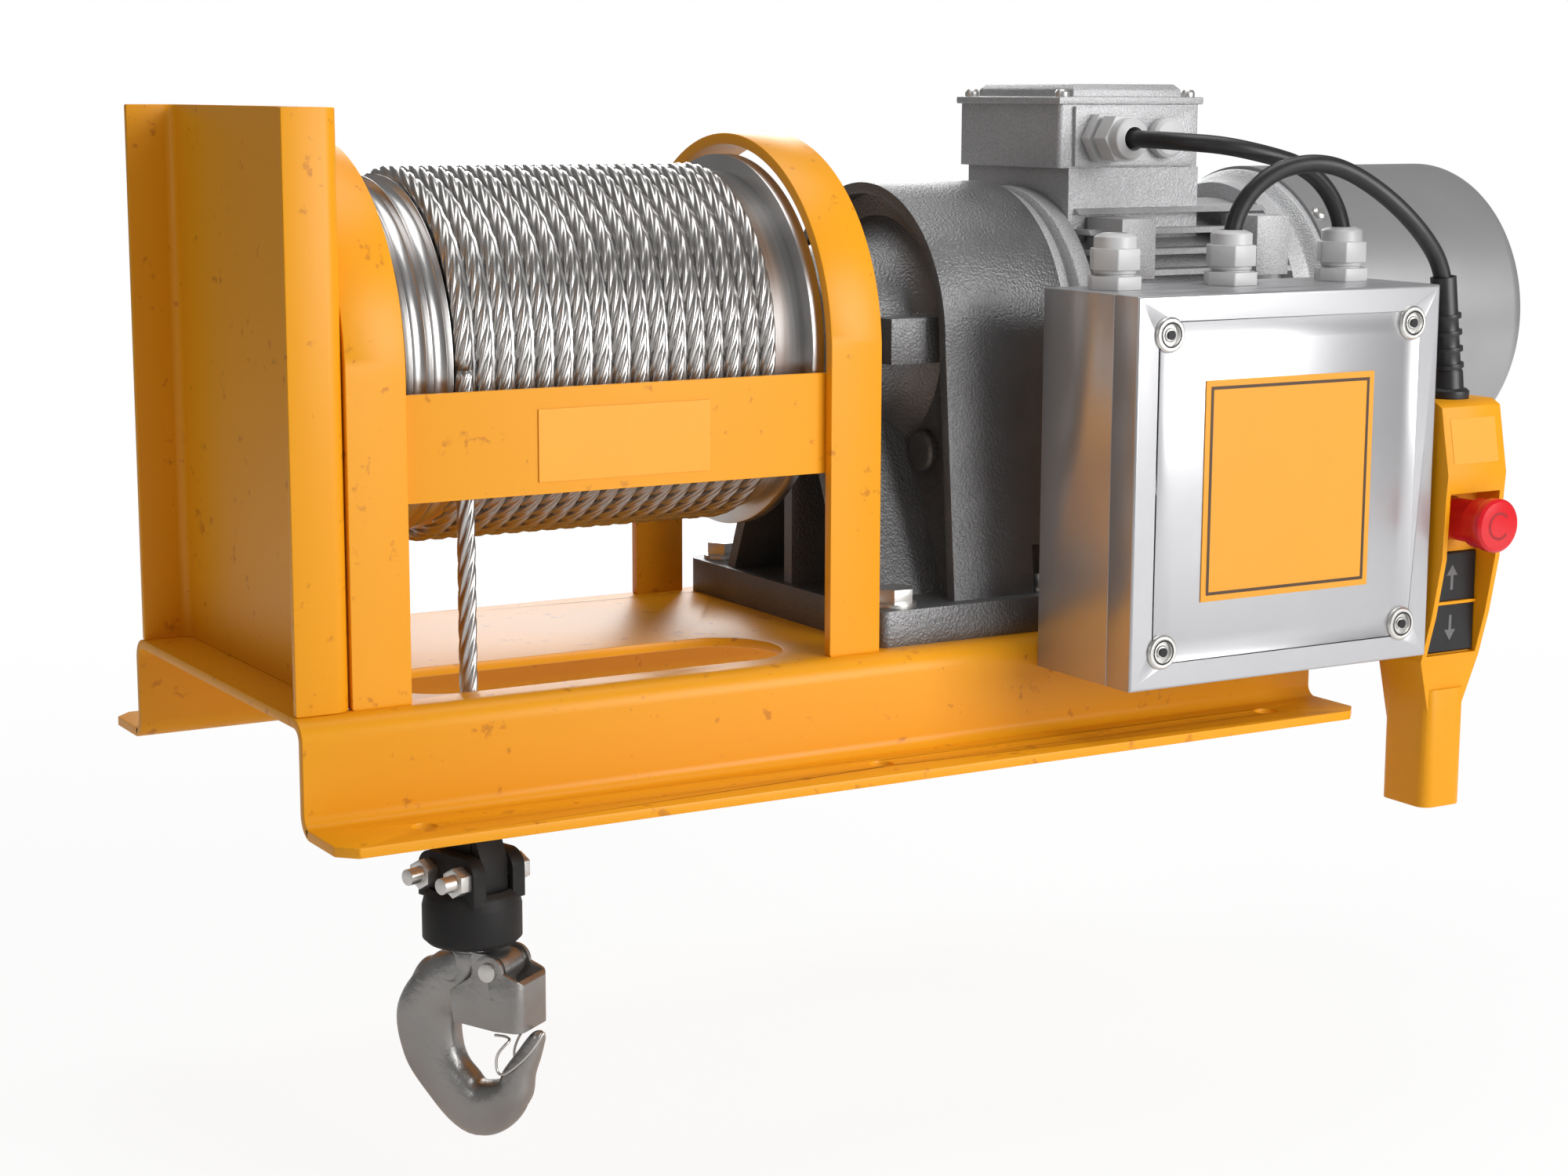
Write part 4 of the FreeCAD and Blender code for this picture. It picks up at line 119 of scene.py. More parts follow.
for lamp_name, lamp_place, aim, lamp_size, power in (
    ("key_lamp", (0.95, -2.1, 0.8), (0.0, 0.0, 0.1), 1.4, 49),
    ("top_lamp", (0.2, 0.1, 2.0), (0.1, 0.0, 0.1), 1.3, 18),
    ("left_lamp", (-2.1, -1.1, 0.9), (-0.2, 0.0, 0.1), 0.5, 4),
    ("rear_lamp", (0.9, 1.9, 1.0), (0.1, 0.0, 0.15), 1.0, 20),
):
    lamp_data = bpy.data.lights.new(lamp_name, "AREA")
    lamp_data.size = lamp_size
    lamp_data.energy = power
    lamp = bpy.data.objects.new(lamp_name, lamp_data)
    lamp.location = lamp_place
    lamp.rotation_euler = (Vector(aim) - Vector(lamp_place)).to_track_quat("-Z", "Y").to_euler()
    bpy.context.scene.collection.objects.link(lamp)


# Base and drum frame: 5 mm steel plate pressed to a hat section, a bent channel, two flat-bar hoops and a tie
# panel, all welded together and sprayed yellow-orange. Handling has left small brown scuffs.
def effect(name, inputs, outputs):
    """An empty node group with named sockets; an input is (name, value)."""
    group = bpy.data.node_groups.new(name, "ShaderNodeTree")
    for label, start in inputs:
        group.interface.new_socket(label, in_out="INPUT", socket_type="NodeSocketFloat").default_value = start
    for label in outputs:
        group.interface.new_socket(label, in_out="OUTPUT", socket_type="NodeSocketFloat")
    return group, group.nodes.new("NodeGroupInput"), group.nodes.new("NodeGroupOutput")


scuffs, scuffs_in, scuffs_out = effect("scuffs", [("Size", 30), ("Amount", 0.4)], ["Mark", "Mottle"])
spot = scuffs.nodes.new("ShaderNodeTexCoord")
patches = scuffs.nodes.new("ShaderNodeTexNoise")
patches.inputs["Detail"].default_value = 6
patches.inputs["Roughness"].default_value = 0.65
patches.inputs["Distortion"].default_value = 0.6
finer = scuffs.nodes.new("ShaderNodeMath")
finer.operation = "MULTIPLY"
finer.inputs[1].default_value = 3.7
streaks = scuffs.nodes.new("ShaderNodeTexNoise")
streaks.inputs["Detail"].default_value = 4
both = scuffs.nodes.new("ShaderNodeMath")
both.operation = "MULTIPLY"
edge = scuffs.nodes.new("ShaderNodeMapRange")
edge.inputs["From Min"].default_value = 0.35
edge.inputs["From Max"].default_value = 0.41
strong = scuffs.nodes.new("ShaderNodeMath")
strong.operation = "MULTIPLY"
scuffs.links.new(spot.outputs["Object"], patches.inputs["Vector"])
scuffs.links.new(spot.outputs["Object"], streaks.inputs["Vector"])
scuffs.links.new(scuffs_in.outputs["Size"], patches.inputs["Scale"])
scuffs.links.new(scuffs_in.outputs["Size"], finer.inputs[0])
scuffs.links.new(finer.outputs[0], streaks.inputs["Scale"])
scuffs.links.new(patches.outputs["Fac"], both.inputs[0])
scuffs.links.new(streaks.outputs["Fac"], both.inputs[1])
scuffs.links.new(both.outputs[0], edge.inputs["Value"])
scuffs.links.new(edge.outputs["Result"], strong.inputs[0])
scuffs.links.new(scuffs_in.outputs["Amount"], strong.inputs[1])
scuffs.links.new(strong.outputs[0], scuffs_out.inputs["Mark"])
scuffs.links.new(patches.outputs["Fac"], scuffs_out.inputs["Mottle"])


def finish(name, metal, rough, shine=0.5):
    """A material with its shader's plain values; what varies over the surface is linked in afterwards."""
    material = bpy.data.materials.new(name)
    material.use_nodes = True
    shader = material.node_tree.nodes["Principled BSDF"]
    shader.inputs["Metallic"].default_value = metal
    shader.inputs["Roughness"].default_value = rough
    shader.inputs["Specular IOR Level"].default_value = shine
    return material, shader


def use(material, group, **values):
    """Place an effect in a material with its own values."""
    node = material.node_tree.nodes.new("ShaderNodeGroup")
    node.node_tree = group
    for label, amount in values.items():
        node.inputs[label].default_value = amount
    return node


def tint(material, shader, share, low, high):
    """Feed the base colour with a mix of two tones."""
    mix = material.node_tree.nodes.new("ShaderNodeMix")
    mix.data_type = "RGBA"
    mix.inputs[6].default_value = (*low, 1)
    mix.inputs[7].default_value = (*high, 1)
    material.node_tree.links.new(share, mix.inputs[0])
    material.node_tree.links.new(mix.outputs[2], shader.inputs["Base Color"])


def dress(material, slot, *names, bevel=0.0, angle=32):
    """Give pieces their finish, smooth their curved faces and ease their edges."""
    for name in names:
        piece = nodes[name]
        piece.data.materials.clear()
        piece.data.materials.append(material)
        for polygon in piece.data.polygons:
            polygon.use_smooth = True
        weld = piece.modifiers.new("weld", "WELD")
        weld.merge_threshold = 0.00001
        if bevel:
            ease = piece.modifiers.new("ease", "BEVEL")
            ease.width = bevel
            ease.segments = 2
            ease.limit_method = "ANGLE"
            ease.angle_limit = math.radians(angle)
        crisp = piece.modifiers.new("crisp", "EDGE_SPLIT")
        crisp.split_angle = math.radians(angle)


paint, paint_shader = finish("frame_paint", metal=0.0, rough=0.4, shine=0.3)
paint_marks = use(paint, scuffs, Size=42, Amount=0.7)
tint(paint, paint_shader, paint_marks.outputs["Mark"], (0.80, 0.325, 0.006), (0.50, 0.16, 0.008))
dress(
    paint, "frame_paint", "base_frame", "bearing_channel", "left_hoop", "right_hoop", "front_panel",
    "enclosure_bracket", bevel=0.0007
)


# Name plate on the tie panel: thin sheet, cut square and glued flat to the panel. It is left bare, in a paler
# shade of the frame's paint.
def coat(name, metal, rough, low, high, size=70, shine=0.5):
    """A finish whose tone wanders between two colours, in soft patches."""
    material, shader = finish(name, metal, rough, shine)
    patchy = use(material, scuffs, Size=size)
    tint(material, shader, patchy.outputs["Mottle"], low, high)
    return material


def plate(name, material, low, high):
    """A thin sheet between two corners, in metres, fixed to the frame."""
    bpy.ops.mesh.primitive_cube_add(size=1)
    piece = bpy.context.object
    piece.name = name
    middle = [(a + b) / 2 for a, b in zip(low, high)]
    lengths = [b - a for a, b in zip(low, high)]
    piece.data.transform(Matrix.Translation(middle) @ Matrix.Diagonal((*lengths, 1)))
    piece.data.materials.append(material)
    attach(piece, "root")


plate_left, plate_right, plate_low, plate_high, plate_thick = -0.1708, -0.0773, 0.155, 0.190, 0.0008
panel_face = -0.103
plate_paint = coat(
    "plate_paint", metal=0.0, rough=0.35, low=(0.86, 0.38, 0.03), high=(0.80, 0.35, 0.025), size=40, shine=0.3
)
plate(
    "name_plate", plate_paint,
    (plate_left, panel_face - plate_thick, plate_low), (plate_right, panel_face, plate_high)
)

# Drum, its end discs, the gears and the shafts: turned steel, bright where the tool and the rope have been.
# The drum turns in a bearing at its left end and on the gearbox's output shaft at its right end.
steel_lines, steel_in, steel_out = effect("turning_lines", [("Pitch", 900)], ["Tone"])
where = steel_lines.nodes.new("ShaderNodeTexCoord")
squeeze = steel_lines.nodes.new("ShaderNodeMapping")
squeeze.inputs["Scale"].default_value = (1, 0.03, 0.03)
lines = steel_lines.nodes.new("ShaderNodeTexNoise")
lines.inputs["Detail"].default_value = 3
steel_lines.links.new(where.outputs["Object"], squeeze.inputs["Vector"])
steel_lines.links.new(squeeze.outputs["Vector"], lines.inputs["Vector"])
steel_lines.links.new(steel_in.outputs["Pitch"], lines.inputs["Scale"])
steel_lines.links.new(lines.outputs["Fac"], steel_out.inputs["Tone"])

steel, steel_shader = finish("bright_steel", metal=1.0, rough=0.3)
steel_tone = use(steel, steel_lines, Pitch=700)
tint(steel, steel_shader, steel_tone.outputs["Tone"], (0.42, 0.41, 0.41), (0.72, 0.71, 0.70))
dress(
    steel, "bright_steel", "drum_shell", "drum_end_left", "drum_end_right", "drum_bearing", "stub_axle",
    "output_shaft", "output_gear", "output_bearings", "intermediate_shaft", "intermediate_gear",
    "intermediate_bearings", "rotor_core", "motor_shaft", "motor_bearings", "stator_core", bevel=0.0004
)

# Wire rope: six strands laid to the right round a core, 9 mm thick. One length is wound in seventeen turns on
# the drum's grooves, and its fall runs down through the base to the hook.
rope_radius, lay_pitch, strands = 0.0045, 0.075, 6
strand_section = ((-30, 0.64), (-18, 0.9), (-6, 0.99), (6, 0.99), (18, 0.9))
coil_start, coil_pitch, coil_turns, coil_radius, axle_z = -0.203, 0.0104, 16.95, 0.0895, 0.209
points_per_turn = 96


def ring_faces(rings, sides):
    """The faces of a tube made of rings, with its two ends last."""
    faces = [
        (row * sides + i, row * sides + (i + 1) % sides, (row + 1) * sides + (i + 1) % sides, (row + 1) * sides + i)
        for row in range(rings - 1)
        for i in range(sides)
    ]
    return faces + [tuple(range(sides - 1, -1, -1)), tuple(range((rings - 1) * sides, rings * sides))]


def skin(name, material, vertices, faces, smooth=True):
    """A piece made of faces over points in metres, in its finish."""
    mesh = bpy.data.meshes.new(name)
    mesh.from_pydata(vertices, [], faces)
    for polygon in mesh.polygons:
        polygon.use_smooth = smooth
    piece = bpy.data.objects.new(name, mesh)
    bpy.context.scene.collection.objects.link(piece)
    piece.data.materials.append(material)
    return piece


def lay_rope(name, material, centres, outward, along, distance):
    """A stranded rope whose section follows a line and turns with its lay."""
    profile = [
        (strand * math.pi / 3 + math.radians(crest), rope_radius * reach)
        for strand in range(strands)
        for crest, reach in strand_section
    ]
    angles = np.array([p[0] for p in profile])
    reach = np.array([p[1] for p in profile])
    side = np.cross(along, outward)
    twist = distance[:, None] / lay_pitch * 2 * math.pi + angles[None, :]
    ring = (
        centres[:, None, :]
        + np.cos(twist)[:, :, None] * reach[None, :, None] * outward[:, None, :]
        + np.sin(twist)[:, :, None] * reach[None, :, None] * side[:, None, :]
    )
    return skin(name, material, ring.reshape(-1, 3).tolist(), ring_faces(len(centres), len(profile)))


wire = coat("rope_wire", metal=1.0, rough=0.33, low=(0.42, 0.405, 0.39), high=(0.56, 0.545, 0.53), size=220)

angle = np.linspace(0, coil_turns * 2 * math.pi, round(coil_turns * points_per_turn) + 1)
coil_rise = coil_pitch / (2 * math.pi)
outward = np.stack([np.zeros_like(angle), -np.cos(angle), np.sin(angle)], axis=1)
centres = outward * coil_radius
centres[:, 0] = coil_start + coil_pitch * angle / (2 * math.pi)
centres[:, 2] += axle_z
along = np.stack(
    [np.full_like(angle, coil_rise), coil_radius * np.sin(angle), coil_radius * np.cos(angle)], axis=1
)
along /= np.linalg.norm(along, axis=1)[:, None]
coil_length = angle * math.hypot(coil_radius, coil_rise)
rope_coil = lay_rope("rope_coil", wire, centres, outward, along, coil_length)
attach(rope_coil, "drum")
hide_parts("rope_wraps")

fall_top, fall_low, fall_points = 0.209, -0.008, 60
heights = np.linspace(fall_top, fall_low, fall_points)
fall_line = np.stack(
    [np.full_like(heights, coil_start), np.full_like(heights, -coil_radius), heights], axis=1
)
down = np.tile([0.0, 0.0, -1.0], (fall_points, 1))
front = np.tile([0.0, -1.0, 0.0], (fall_points, 1))
rope_drop = lay_rope("rope_drop", wire, fall_line, front, down, fall_top - heights)
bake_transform(rope_drop)
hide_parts("rope_fall")

# Gearbox, its input cover and its plug: cast in grey iron, so their skin is grained by the sand mould. They are
# painted dark metallic grey, and the box stands on the base's deck.
sand, sand_in, sand_out = effect("sand_grain", [("Fineness", 900)], ["Height", "Tone"])
sand_spot = sand.nodes.new("ShaderNodeTexCoord")
grains = sand.nodes.new("ShaderNodeTexNoise")
grains.inputs["Detail"].default_value = 3
clouds = sand.nodes.new("ShaderNodeTexNoise")
clouds.inputs["Scale"].default_value = 26
sand.links.new(sand_spot.outputs["Object"], grains.inputs["Vector"])
sand.links.new(sand_spot.outputs["Object"], clouds.inputs["Vector"])
sand.links.new(sand_in.outputs["Fineness"], grains.inputs["Scale"])
sand.links.new(grains.outputs["Fac"], sand_out.inputs["Height"])
sand.links.new(clouds.outputs["Fac"], sand_out.inputs["Tone"])


def relief(material, shader, height, depth):
    """Feed the normal with a bump of a height in metres."""
    bump = material.node_tree.nodes.new("ShaderNodeBump")
    bump.inputs["Distance"].default_value = depth
    material.node_tree.links.new(height, bump.inputs["Height"])
    material.node_tree.links.new(bump.outputs["Normal"], shader.inputs["Normal"])


iron, iron_shader = finish("dark_casting", metal=0.7, rough=0.38)
iron_grain = use(iron, sand, Fineness=700)
tint(iron, iron_shader, iron_grain.outputs["Tone"], (0.13, 0.13, 0.132), (0.25, 0.25, 0.252))
relief(iron, iron_shader, iron_grain.outputs["Height"], depth=0.0006)
dress(iron, "dark_casting", "gearbox_housing", "input_cover", "oil_plug", bevel=0.0015)

# Motor: a finned frame and two end shields cast in light alloy and shot-blasted. The cast terminal box with its
# lid is screwed to the frame's shoulder.
alloy, alloy_shader = finish("light_casting", metal=0.5, rough=0.45)
alloy_grain = use(alloy, sand, Fineness=1100)
tint(alloy, alloy_shader, alloy_grain.outputs["Height"], (0.24, 0.24, 0.245), (0.68, 0.68, 0.69))
relief(alloy, alloy_shader, alloy_grain.outputs["Height"], depth=0.0005)
dress(
    alloy, "light_casting", "motor_frame", "front_shield", "rear_shield", "terminal_box", "terminal_lid", bevel=0.0008
)

# Fan and its cowl: the fan is moulded in black plastic and pressed on the motor's shaft. The cowl is a drawn
# steel cup in satin grey, slotted at its end, which slips over the rear shield.
moulding = coat(
    "black_plastic", metal=0.0, rough=0.4, low=(0.010, 0.010, 0.011), high=(0.022, 0.022, 0.024), size=60, shine=0.3
)
dress(moulding, "black_plastic", "cooling_fan", bevel=0.0004)
cowl, cowl_shader = finish("cowl_sheet", metal=0.6, rough=0.36)
cowl_grain = use(cowl, sand, Fineness=300)
tint(cowl, cowl_shader, cowl_grain.outputs["Tone"], (0.34, 0.34, 0.345), (0.41, 0.41, 0.415))
dress(cowl, "cowl_sheet", "fan_cowl")

# Screws, nuts, washers and small fittings of the whole hoist: turned or pressed steel, zinc-plated. They hold
# the gearbox, the motor, the rope's end, the hook block and the switch box's lid.
zinc = coat("zinc_plate", metal=0.9, rough=0.32, low=(0.52, 0.51, 0.49), high=(0.80, 0.79, 0.76), size=90)
dress(
    zinc, "zinc_plate", "deck_bolts", "motor_screws", "rope_anchor", "bell_bolts", "swivel_nut", "latch_pin",
    "latch_spring", "mounting_rail", "lid_locks", bevel=0.0003
)

# Switch box: folded steel sheet with a deep lid, sprayed pale grey and baked. Inside it two contactors, moulded
# in dark grey plastic, clip on a rail.
case_paint = coat("box_paint", metal=0.7, rough=0.3, low=(0.45, 0.45, 0.463), high=(0.50, 0.50, 0.513), size=14)
dress(case_paint, "box_paint", "enclosure_body", "enclosure_lid", bevel=0.0006)
grey_part = coat("grey_plastic", metal=0.0, rough=0.5, low=(0.07, 0.07, 0.075), high=(0.1, 0.1, 0.105), size=60)
dress(grey_part, "grey_plastic", "contactors", bevel=0.0005)


# Lock marks: on each of the four zinc-plated quarter-turn locks, which hold the lid at its corners, a flat dark ring
# of painted shade stands for the groove, round a flat dark disc at its core. Sizes are in millimetres.
def trim(name, material, slot, body, vertices, faces):
    """A small piece, in millimetres, that rides on a body."""
    metres = [(x / 1000, y / 1000, z / 1000) for x, y, z in vertices]
    piece = skin(name, material, metres, faces, smooth=False)
    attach(piece, body)


lock_columns, lock_rows, lock_face = (131, 292), (59.5, 220.5), -202.15
lock_rings, lock_steps = ((5.6, 6.5), (0.0, 2.4)), 32
lock_vertices, lock_faces = [], []
for lock_x in lock_columns:
    for lock_z in lock_rows:
        for inner, outer in lock_rings:
            first = len(lock_vertices)
            for reach in (inner, outer):
                for step in range(lock_steps):
                    way = 2 * math.pi * step / lock_steps
                    lock_vertices.append((lock_x + reach * math.cos(way), lock_face, lock_z + reach * math.sin(way)))
            for step in range(lock_steps):
                after = (step + 1) % lock_steps
                lock_faces.append(
                    (first + step, first + lock_steps + step, first + lock_steps + after, first + after)
                )
# The flat dark ring on each lock is painted shade for its groove; the disc inside it is a flat dark disc.
trim("lock_groove_shade_and_cores", moulding, "black_plastic", "root", lock_vertices, lock_faces)

# Plate on the lid: thin sheet, sprayed orange and glued flat to the lid, with a dark line printed just inside
# its edge. The rest of it is bare.
sign_left, sign_right, sign_low, sign_high, sign_thick = 0.155, 0.2666, 0.083, 0.1965, 0.0007
lid_face, line_face = -0.2, -0.2009
sign_paint = coat(
    "sign_face", metal=0.0, rough=0.4, low=(0.76, 0.325, 0.03), high=(0.72, 0.31, 0.026), size=50, shine=0.3
)
plate("sign_plate", sign_paint, (sign_left, lid_face - sign_thick, sign_low), (sign_right, lid_face, sign_high))
line_outer, line_inner = 0.0032, 0.0048
line_points = [
    (x, line_face, z)
    for d in (line_outer, line_inner)
    for x, z in (
        (sign_left + d, sign_low + d), (sign_right - d, sign_low + d),
        (sign_right - d, sign_high - d), (sign_left + d, sign_high - d),
    )
]
line_paint = coat("sign_line", metal=0.0, rough=0.45, low=(0.045, 0.018, 0.004), high=(0.07, 0.03, 0.006), size=80)
sign_line = skin("sign_line", line_paint, line_points, ring_faces(2, 4)[:4], smooth=False)
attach(sign_line, "root")

# Cable glands and the terminal box's blanking plug: moulded in pale grey nylon. Each is screwed through the
# wall of its box, and its cap nut squeezes a seal round the cable.
nylon = coat("pale_plastic", metal=0.0, rough=0.38, low=(0.50, 0.50, 0.505), high=(0.58, 0.58, 0.58), size=60)
dress(nylon, "pale_plastic", "terminal_gland", "blanking_plug", "cable_glands", bevel=0.0006)


# Motor cable: rubber-sheathed flex, 9.5 mm thick, from the motor's terminal box down into the switch box.
# It is stiff enough to stand in one smooth arch between its two glands.
def bend(name, material, points, radius, roundness):
    """A round cable or wire on one smooth line through its bends, in metres."""
    line = bpy.data.curves.new(name, "CURVE")
    line.dimensions = "3D"
    line.bevel_depth = radius
    line.bevel_resolution = roundness
    line.resolution_u = 12
    run = line.splines.new("NURBS")
    run.points.add(len(points) - 1)
    for knot, point in zip(run.points, points):
        knot.co = (*point, 1)
    run.order_u = 3
    run.use_endpoint_u = True
    piece = bpy.data.objects.new(name, line)
    bpy.context.scene.collection.objects.link(piece)
    piece.data.materials.append(material)
    return piece


rubber, sheath = finish("black_rubber", metal=0.0, rough=0.42)
chalk = rubber.node_tree.nodes.new("ShaderNodeTexNoise")
chalk.inputs["Scale"].default_value = 160
sheath_spot = rubber.node_tree.nodes.new("ShaderNodeTexCoord")
rubber.node_tree.links.new(sheath_spot.outputs["Object"], chalk.inputs["Vector"])
tint(rubber, sheath, chalk.outputs["Fac"], (0.008, 0.008, 0.009), (0.022, 0.022, 0.024))

flex_radius, flex_roundness = 0.00475, 6
motor_bends = [
    (198.5, -64.1, 314.8), (198.5, -89.7, 314.8), (205, -114.5, 313.7), (219.4, -130.9, 312.2), (241.5, -141, 307),
    (262.4, -143.4, 301.3), (278.6, -145.5, 289.1), (287.5, -148, 270.6), (287.5, -148, 261),
]
motor_flex = bend(
    "motor_flex", rubber, [(x / 1000, y / 1000, z / 1000) for x, y, z in motor_bends], flex_radius, flex_roundness
)
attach(motor_flex, "root")
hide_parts("motor_cable")

# Pendant cable: the same flex, up out of the switch box's middle gland, over to the front and down into the
# boot of the hand pendant. The boot is moulded in black rubber and leans as the cable does.
lean = math.radians(7)
boot_foot = Vector((337, -183, 177))
boot_way = Vector((-math.sin(lean), 0, math.cos(lean)))
boot_top, flex_end = 70.5, 58
pendant_bends = [
    (211.5, -148, 261), (211.5, -148, 270.6), (219.3, -150.8, 287.6), (233.5, -156.2, 299.6), (252, -162.9, 304),
    (271, -169.3, 300.2), (293.5, -178.5, 284.5), (313.8, -183, 265.5), boot_foot + boot_way * boot_top,
    boot_foot + boot_way * flex_end,
]
pendant_flex = bend(
    "pendant_flex", rubber, [(x / 1000, y / 1000, z / 1000) for x, y, z in pendant_bends], flex_radius, flex_roundness
)
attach(pendant_flex, "root")
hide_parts("pendant_cable")
dress(rubber, "black_rubber", "pendant_boot", bevel=0.0004)

# Hand pendant: a grip moulded in yellow plastic, which hangs by its cable. The red mushroom stop button and the
# two black push buttons are moulded too, and run in the grip.
yellow = coat("yellow_plastic", metal=0.0, rough=0.42, low=(0.76, 0.315, 0.004), high=(0.70, 0.29, 0.004), shine=0.25)
dress(yellow, "yellow_plastic", "pendant_body", bevel=0.0012)
red = coat("red_plastic", metal=0.0, rough=0.25, low=(0.66, 0.008, 0.016), high=(0.58, 0.006, 0.012))
dress(red, "red_plastic", "estop_head", "estop_stem", bevel=0.0006)
dress(moulding, "black_plastic", "up_button", "down_button", bevel=0.0004)


# Pendant's label field and rib: a bare raised field above the stop button and a thin bar between the keys.
# Both are moulded with the grip, and the field is a paler yellow. Sizes are in millimetres.
def slab(outline, low, high, point):
    """A flat shape of some thickness: an outline in a plane, and a rule that puts it in space."""
    return [point(a, b, out) for out in (low, high) for a, b in outline], ring_faces(2, len(outline))


def on_slope(across, height, out):
    """A point on the pendant's sloping upper front: along X, up the slope and out of it."""
    slope_low, slope_high, slope_foot, slope_rise = 138, 174, -207, 7
    return across, slope_foot + slope_rise * (height - slope_low) / (slope_high - slope_low) - out, height


pale_yellow = coat("label_field", metal=0.0, rough=0.35, low=(0.82, 0.34, 0.03), high=(0.78, 0.32, 0.025), shine=0.3)
label_left, label_right, label_low, label_high = 321, 353, 144, 168
label_foot, label_face = -0.3, 0.25
label_outline = [
    (label_left, label_low), (label_right, label_low), (label_right, label_high), (label_left, label_high)
]
trim("pendant_label", pale_yellow, "yellow_plastic", "root", *slab(label_outline, label_foot, label_face, on_slope))
(rib_left, rib_front, rib_low), (rib_right, rib_back, rib_high) = (319.6, -192.4, 64.7), (354.4, -190.6, 66.3)
rib_outline = [(rib_left, rib_low), (rib_right, rib_low), (rib_right, rib_high), (rib_left, rib_high)]
trim(
    "key_rib", yellow, "yellow_plastic", "root",
    *slab(rib_outline, rib_back, rib_front, lambda a, b, out: (a, out, b))
)

# Key marks: an arrow pressed into each push button, up on one and down on the other, and filled with grey
# paint. Sizes are in millimetres.
pendant_middle, key_face, mark_height = 337, -191.02, 0.15
grey_mark = coat("key_mark", metal=0.0, rough=0.5, low=(0.10, 0.10, 0.10), high=(0.13, 0.13, 0.13))
arrow = [(-1, -7), (1, -7), (1, 1), (4, 1), (0, 7), (-4, 1), (-1, 1)]
for mark_name, key, key_middle, point_up in (("up_mark", "up_key", 79.5, 1), ("down_mark", "down_key", 51.5, -1)):
    mark_outline = [(pendant_middle + a, key_middle + point_up * b) for a, b in arrow]
    trim(
        mark_name, grey_mark, "black_plastic", key,
        *slab(mark_outline, 0.0, mark_height, lambda a, b, out: (a, key_face - out, b))
    )

# Turn mark on the stop button: an open ring pressed into its face and filled with dark red paint. It shows that
# the button turns to release. Sizes are in millimetres.
ring_inner, ring_outer, ring_height, stop_face, stop_middle = 6.2, 7.6, 0.12, -225.02, 112
ring_start, ring_sweep, ring_steps = 40, 280, 32
sweep = [math.radians(ring_start + ring_sweep * step / ring_steps) for step in range(ring_steps + 1)]
ring_outline = [(ring_outer * math.cos(way), ring_outer * math.sin(way)) for way in sweep]
ring_outline += [(ring_inner * math.cos(way), ring_inner * math.sin(way)) for way in reversed(sweep)]
dark_red = coat("stop_mark", metal=0.0, rough=0.35, low=(0.34, 0.004, 0.008), high=(0.30, 0.004, 0.008))
trim(
    "stop_mark", dark_red, "red_plastic", "stop_head",
    *slab(ring_outline, 0.0, ring_height, lambda a, b, out: (pendant_middle + a, stop_face - out, stop_middle + b))
)

# Hook block: a turned steel bell with two ears, painted black. The ears are bolted to the socket that is
# pressed on the rope's end.
black_coat = coat(
    "black_paint", metal=0.0, rough=0.55, low=(0.009, 0.009, 0.0095), high=(0.018, 0.018, 0.0185), size=50, shine=0.25
)
dress(black_coat, "black_paint", "hook_bell", "rope_socket", bevel=0.0008)

# Hook and latch: a drop-forged steel hook, tumbled and zinc-washed, whose shank turns in the bell. The latch is
# pressed from sheet and swings on a pin through the hook's neck.
forged, forged_shader = finish("forged_steel", metal=0.9, rough=0.36)
forged_grain = use(forged, sand, Fineness=260)
tint(forged, forged_shader, forged_grain.outputs["Tone"], (0.23, 0.223, 0.215), (0.44, 0.432, 0.42))
relief(forged, forged_shader, forged_grain.outputs["Height"], depth=0.0004)
dress(forged, "forged_steel", "hook_forging", bevel=0.0005, angle=40)
dress(forged, "forged_steel", "hook_latch", bevel=0.0002)


# Bowl of the hook: the forging swells from the shank over the bowl and thins to a rounded tip. Each row gives the
# reach, height, depth, thickness and direction of one section, in millimetres and degrees.
def hook_point(reach, height, side):
    """A point in the hook's own plane, in metres: reach from the rope's line, height, and side offset."""
    rope_x, rope_y, heading = -0.203, -0.0895, math.radians(-56)
    out_x, out_y = math.cos(heading), math.sin(heading)
    return (
        rope_x + (reach * out_x - side * out_y) / 1000,
        rope_y + (reach * out_y + side * out_x) / 1000,
        height / 1000,
    )


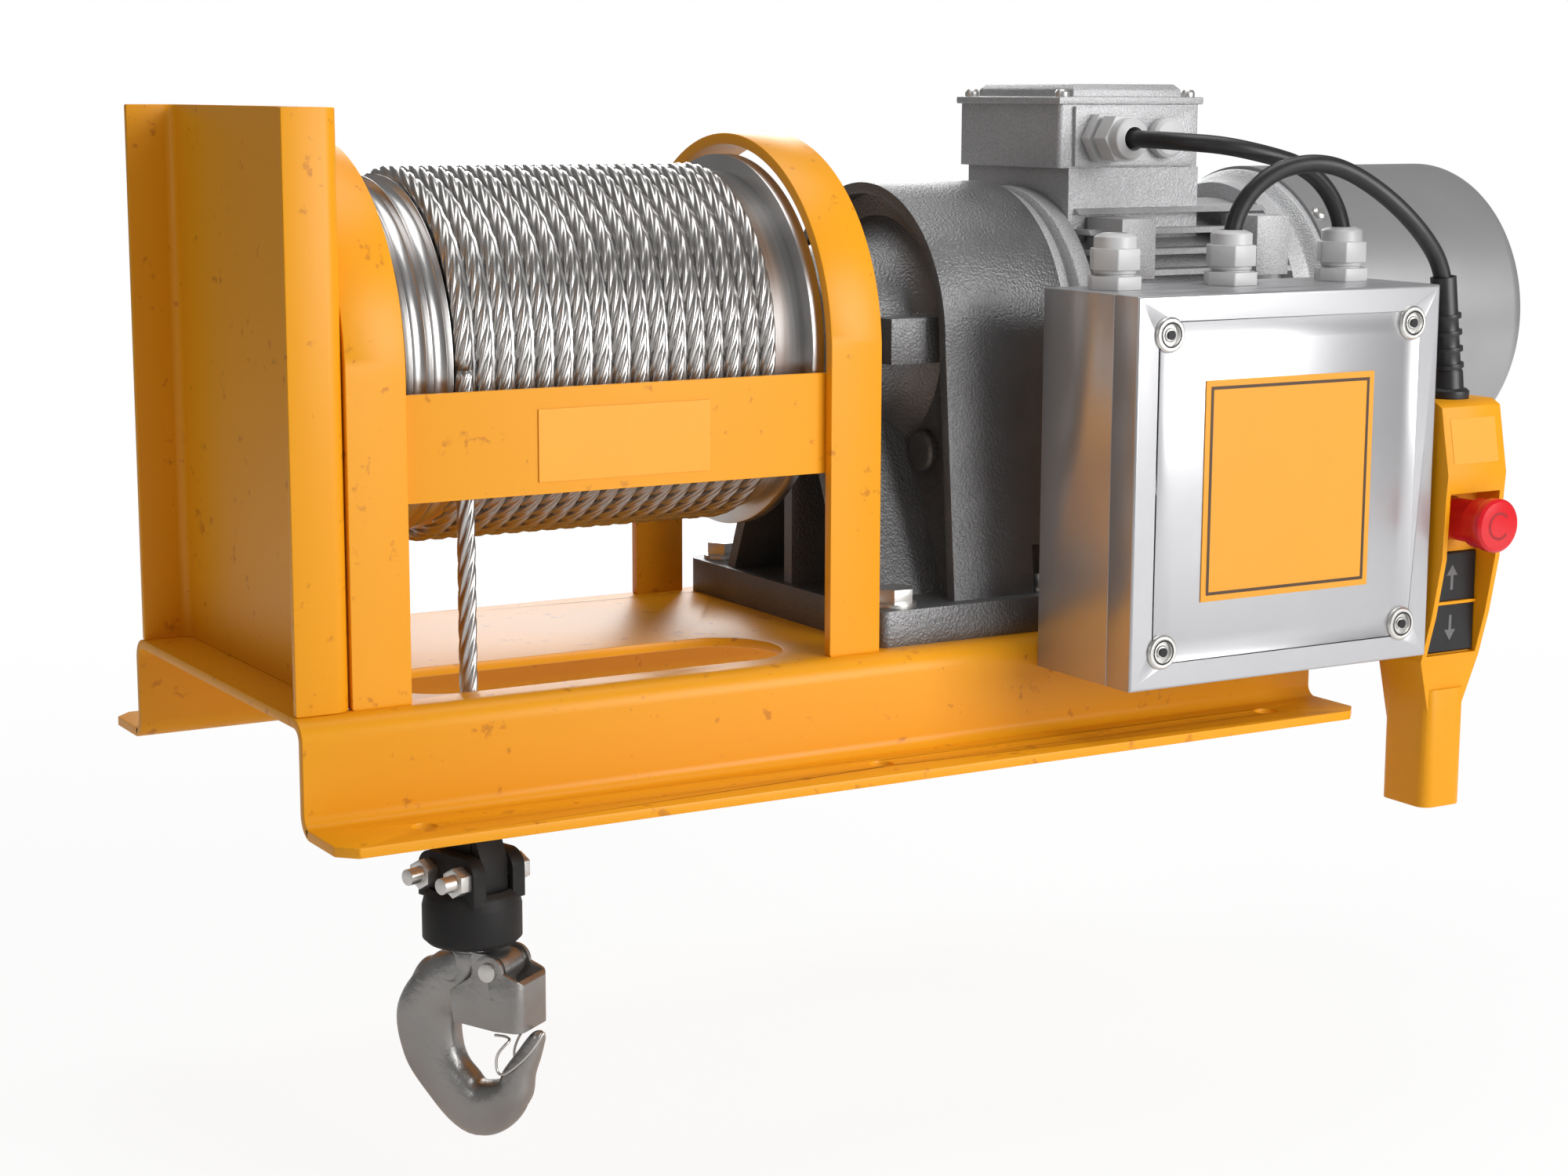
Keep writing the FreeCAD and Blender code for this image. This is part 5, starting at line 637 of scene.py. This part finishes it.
bowl = np.array([
    (0, -75, 19, 19, -90), (-9, -90, 32, 22, -125), (-24.7, -108, 35, 20.6, -92), (-23.5, -129, 32, 20.6, -75),
    (-14, -143.5, 28, 20.6, -55), (3, -155.6, 28.6, 19.6, 0), (21.5, -145.5, 19, 17.6, 55),
    (26, -134, 15.4, 14.6, 80), (31.5, -124, 11.4, 11.6, 75), (36.4, -114.6, 7, 8, 65), (38.2, -111.8, 2, 2.6, 60),
])
bowl_rings, bowl_sides, bowl_bluntness = 81, 28, 0.8
stations = np.linspace(0, len(bowl) - 1, bowl_rings)
before = np.minimum(stations.astype(int), len(bowl) - 2)
share = (stations - before)[:, None]
ends = np.vstack([2 * bowl[0] - bowl[1], bowl, 2 * bowl[-1] - bowl[-2]])
p0, p1, p2, p3 = (ends[before + i] for i in range(4))
rows = p1 + 0.5 * (p2 - p0) * share + (p0 - 2.5 * p1 + 2 * p2 - 0.5 * p3) * share ** 2
rows += (1.5 * (p1 - p2) + 0.5 * (p3 - p0)) * share ** 3
bowl_vertices = []
for reach, height, depth, thickness, direction in rows:
    way = math.radians(direction)
    for step in range(bowl_sides):
        turn = 2 * math.pi * step / bowl_sides
        out = depth / 2 * math.copysign(abs(math.cos(turn)) ** bowl_bluntness, math.cos(turn))
        side = thickness / 2 * math.copysign(abs(math.sin(turn)) ** bowl_bluntness, math.sin(turn))
        bowl_vertices.append(hook_point(reach + out * math.sin(way), height - out * math.cos(way), side))
hook_bowl = skin("hook_bowl", forged, bowl_vertices, ring_faces(bowl_rings, bowl_sides))
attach(hook_bowl, "hook")

# Wire clip: spring wire, 1.4 mm thick and zinc-plated, bent round the hook's tip and up under the latch. It
# keeps the mouth shut. Its bends are in the hook's own plane, in millimetres.
clip_radius, clip_roundness = 0.0007, 3
clip_bends = [
    (13, -116.8, -2), (18.5, -116.6, -1), (23.5, -117, -4), (21.5, -119.5, -8), (17.5, -125, -8.6), (17.8, -133, -8.6),
    (22, -134, -9.4), (31, -126.5, -8), (37, -119, -5), (39.5, -112.5, -1), (39.5, -112.5, 1), (37, -119, 5),
    (31, -126.5, 8), (22, -134, 9.4), (17.8, -133, 8.6), (17.5, -125, 8.6), (23, -117, 6),
]
wire_clip = bend("wire_clip", zinc, [hook_point(*point) for point in clip_bends], clip_radius, clip_roundness)
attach(wire_clip, "hook")
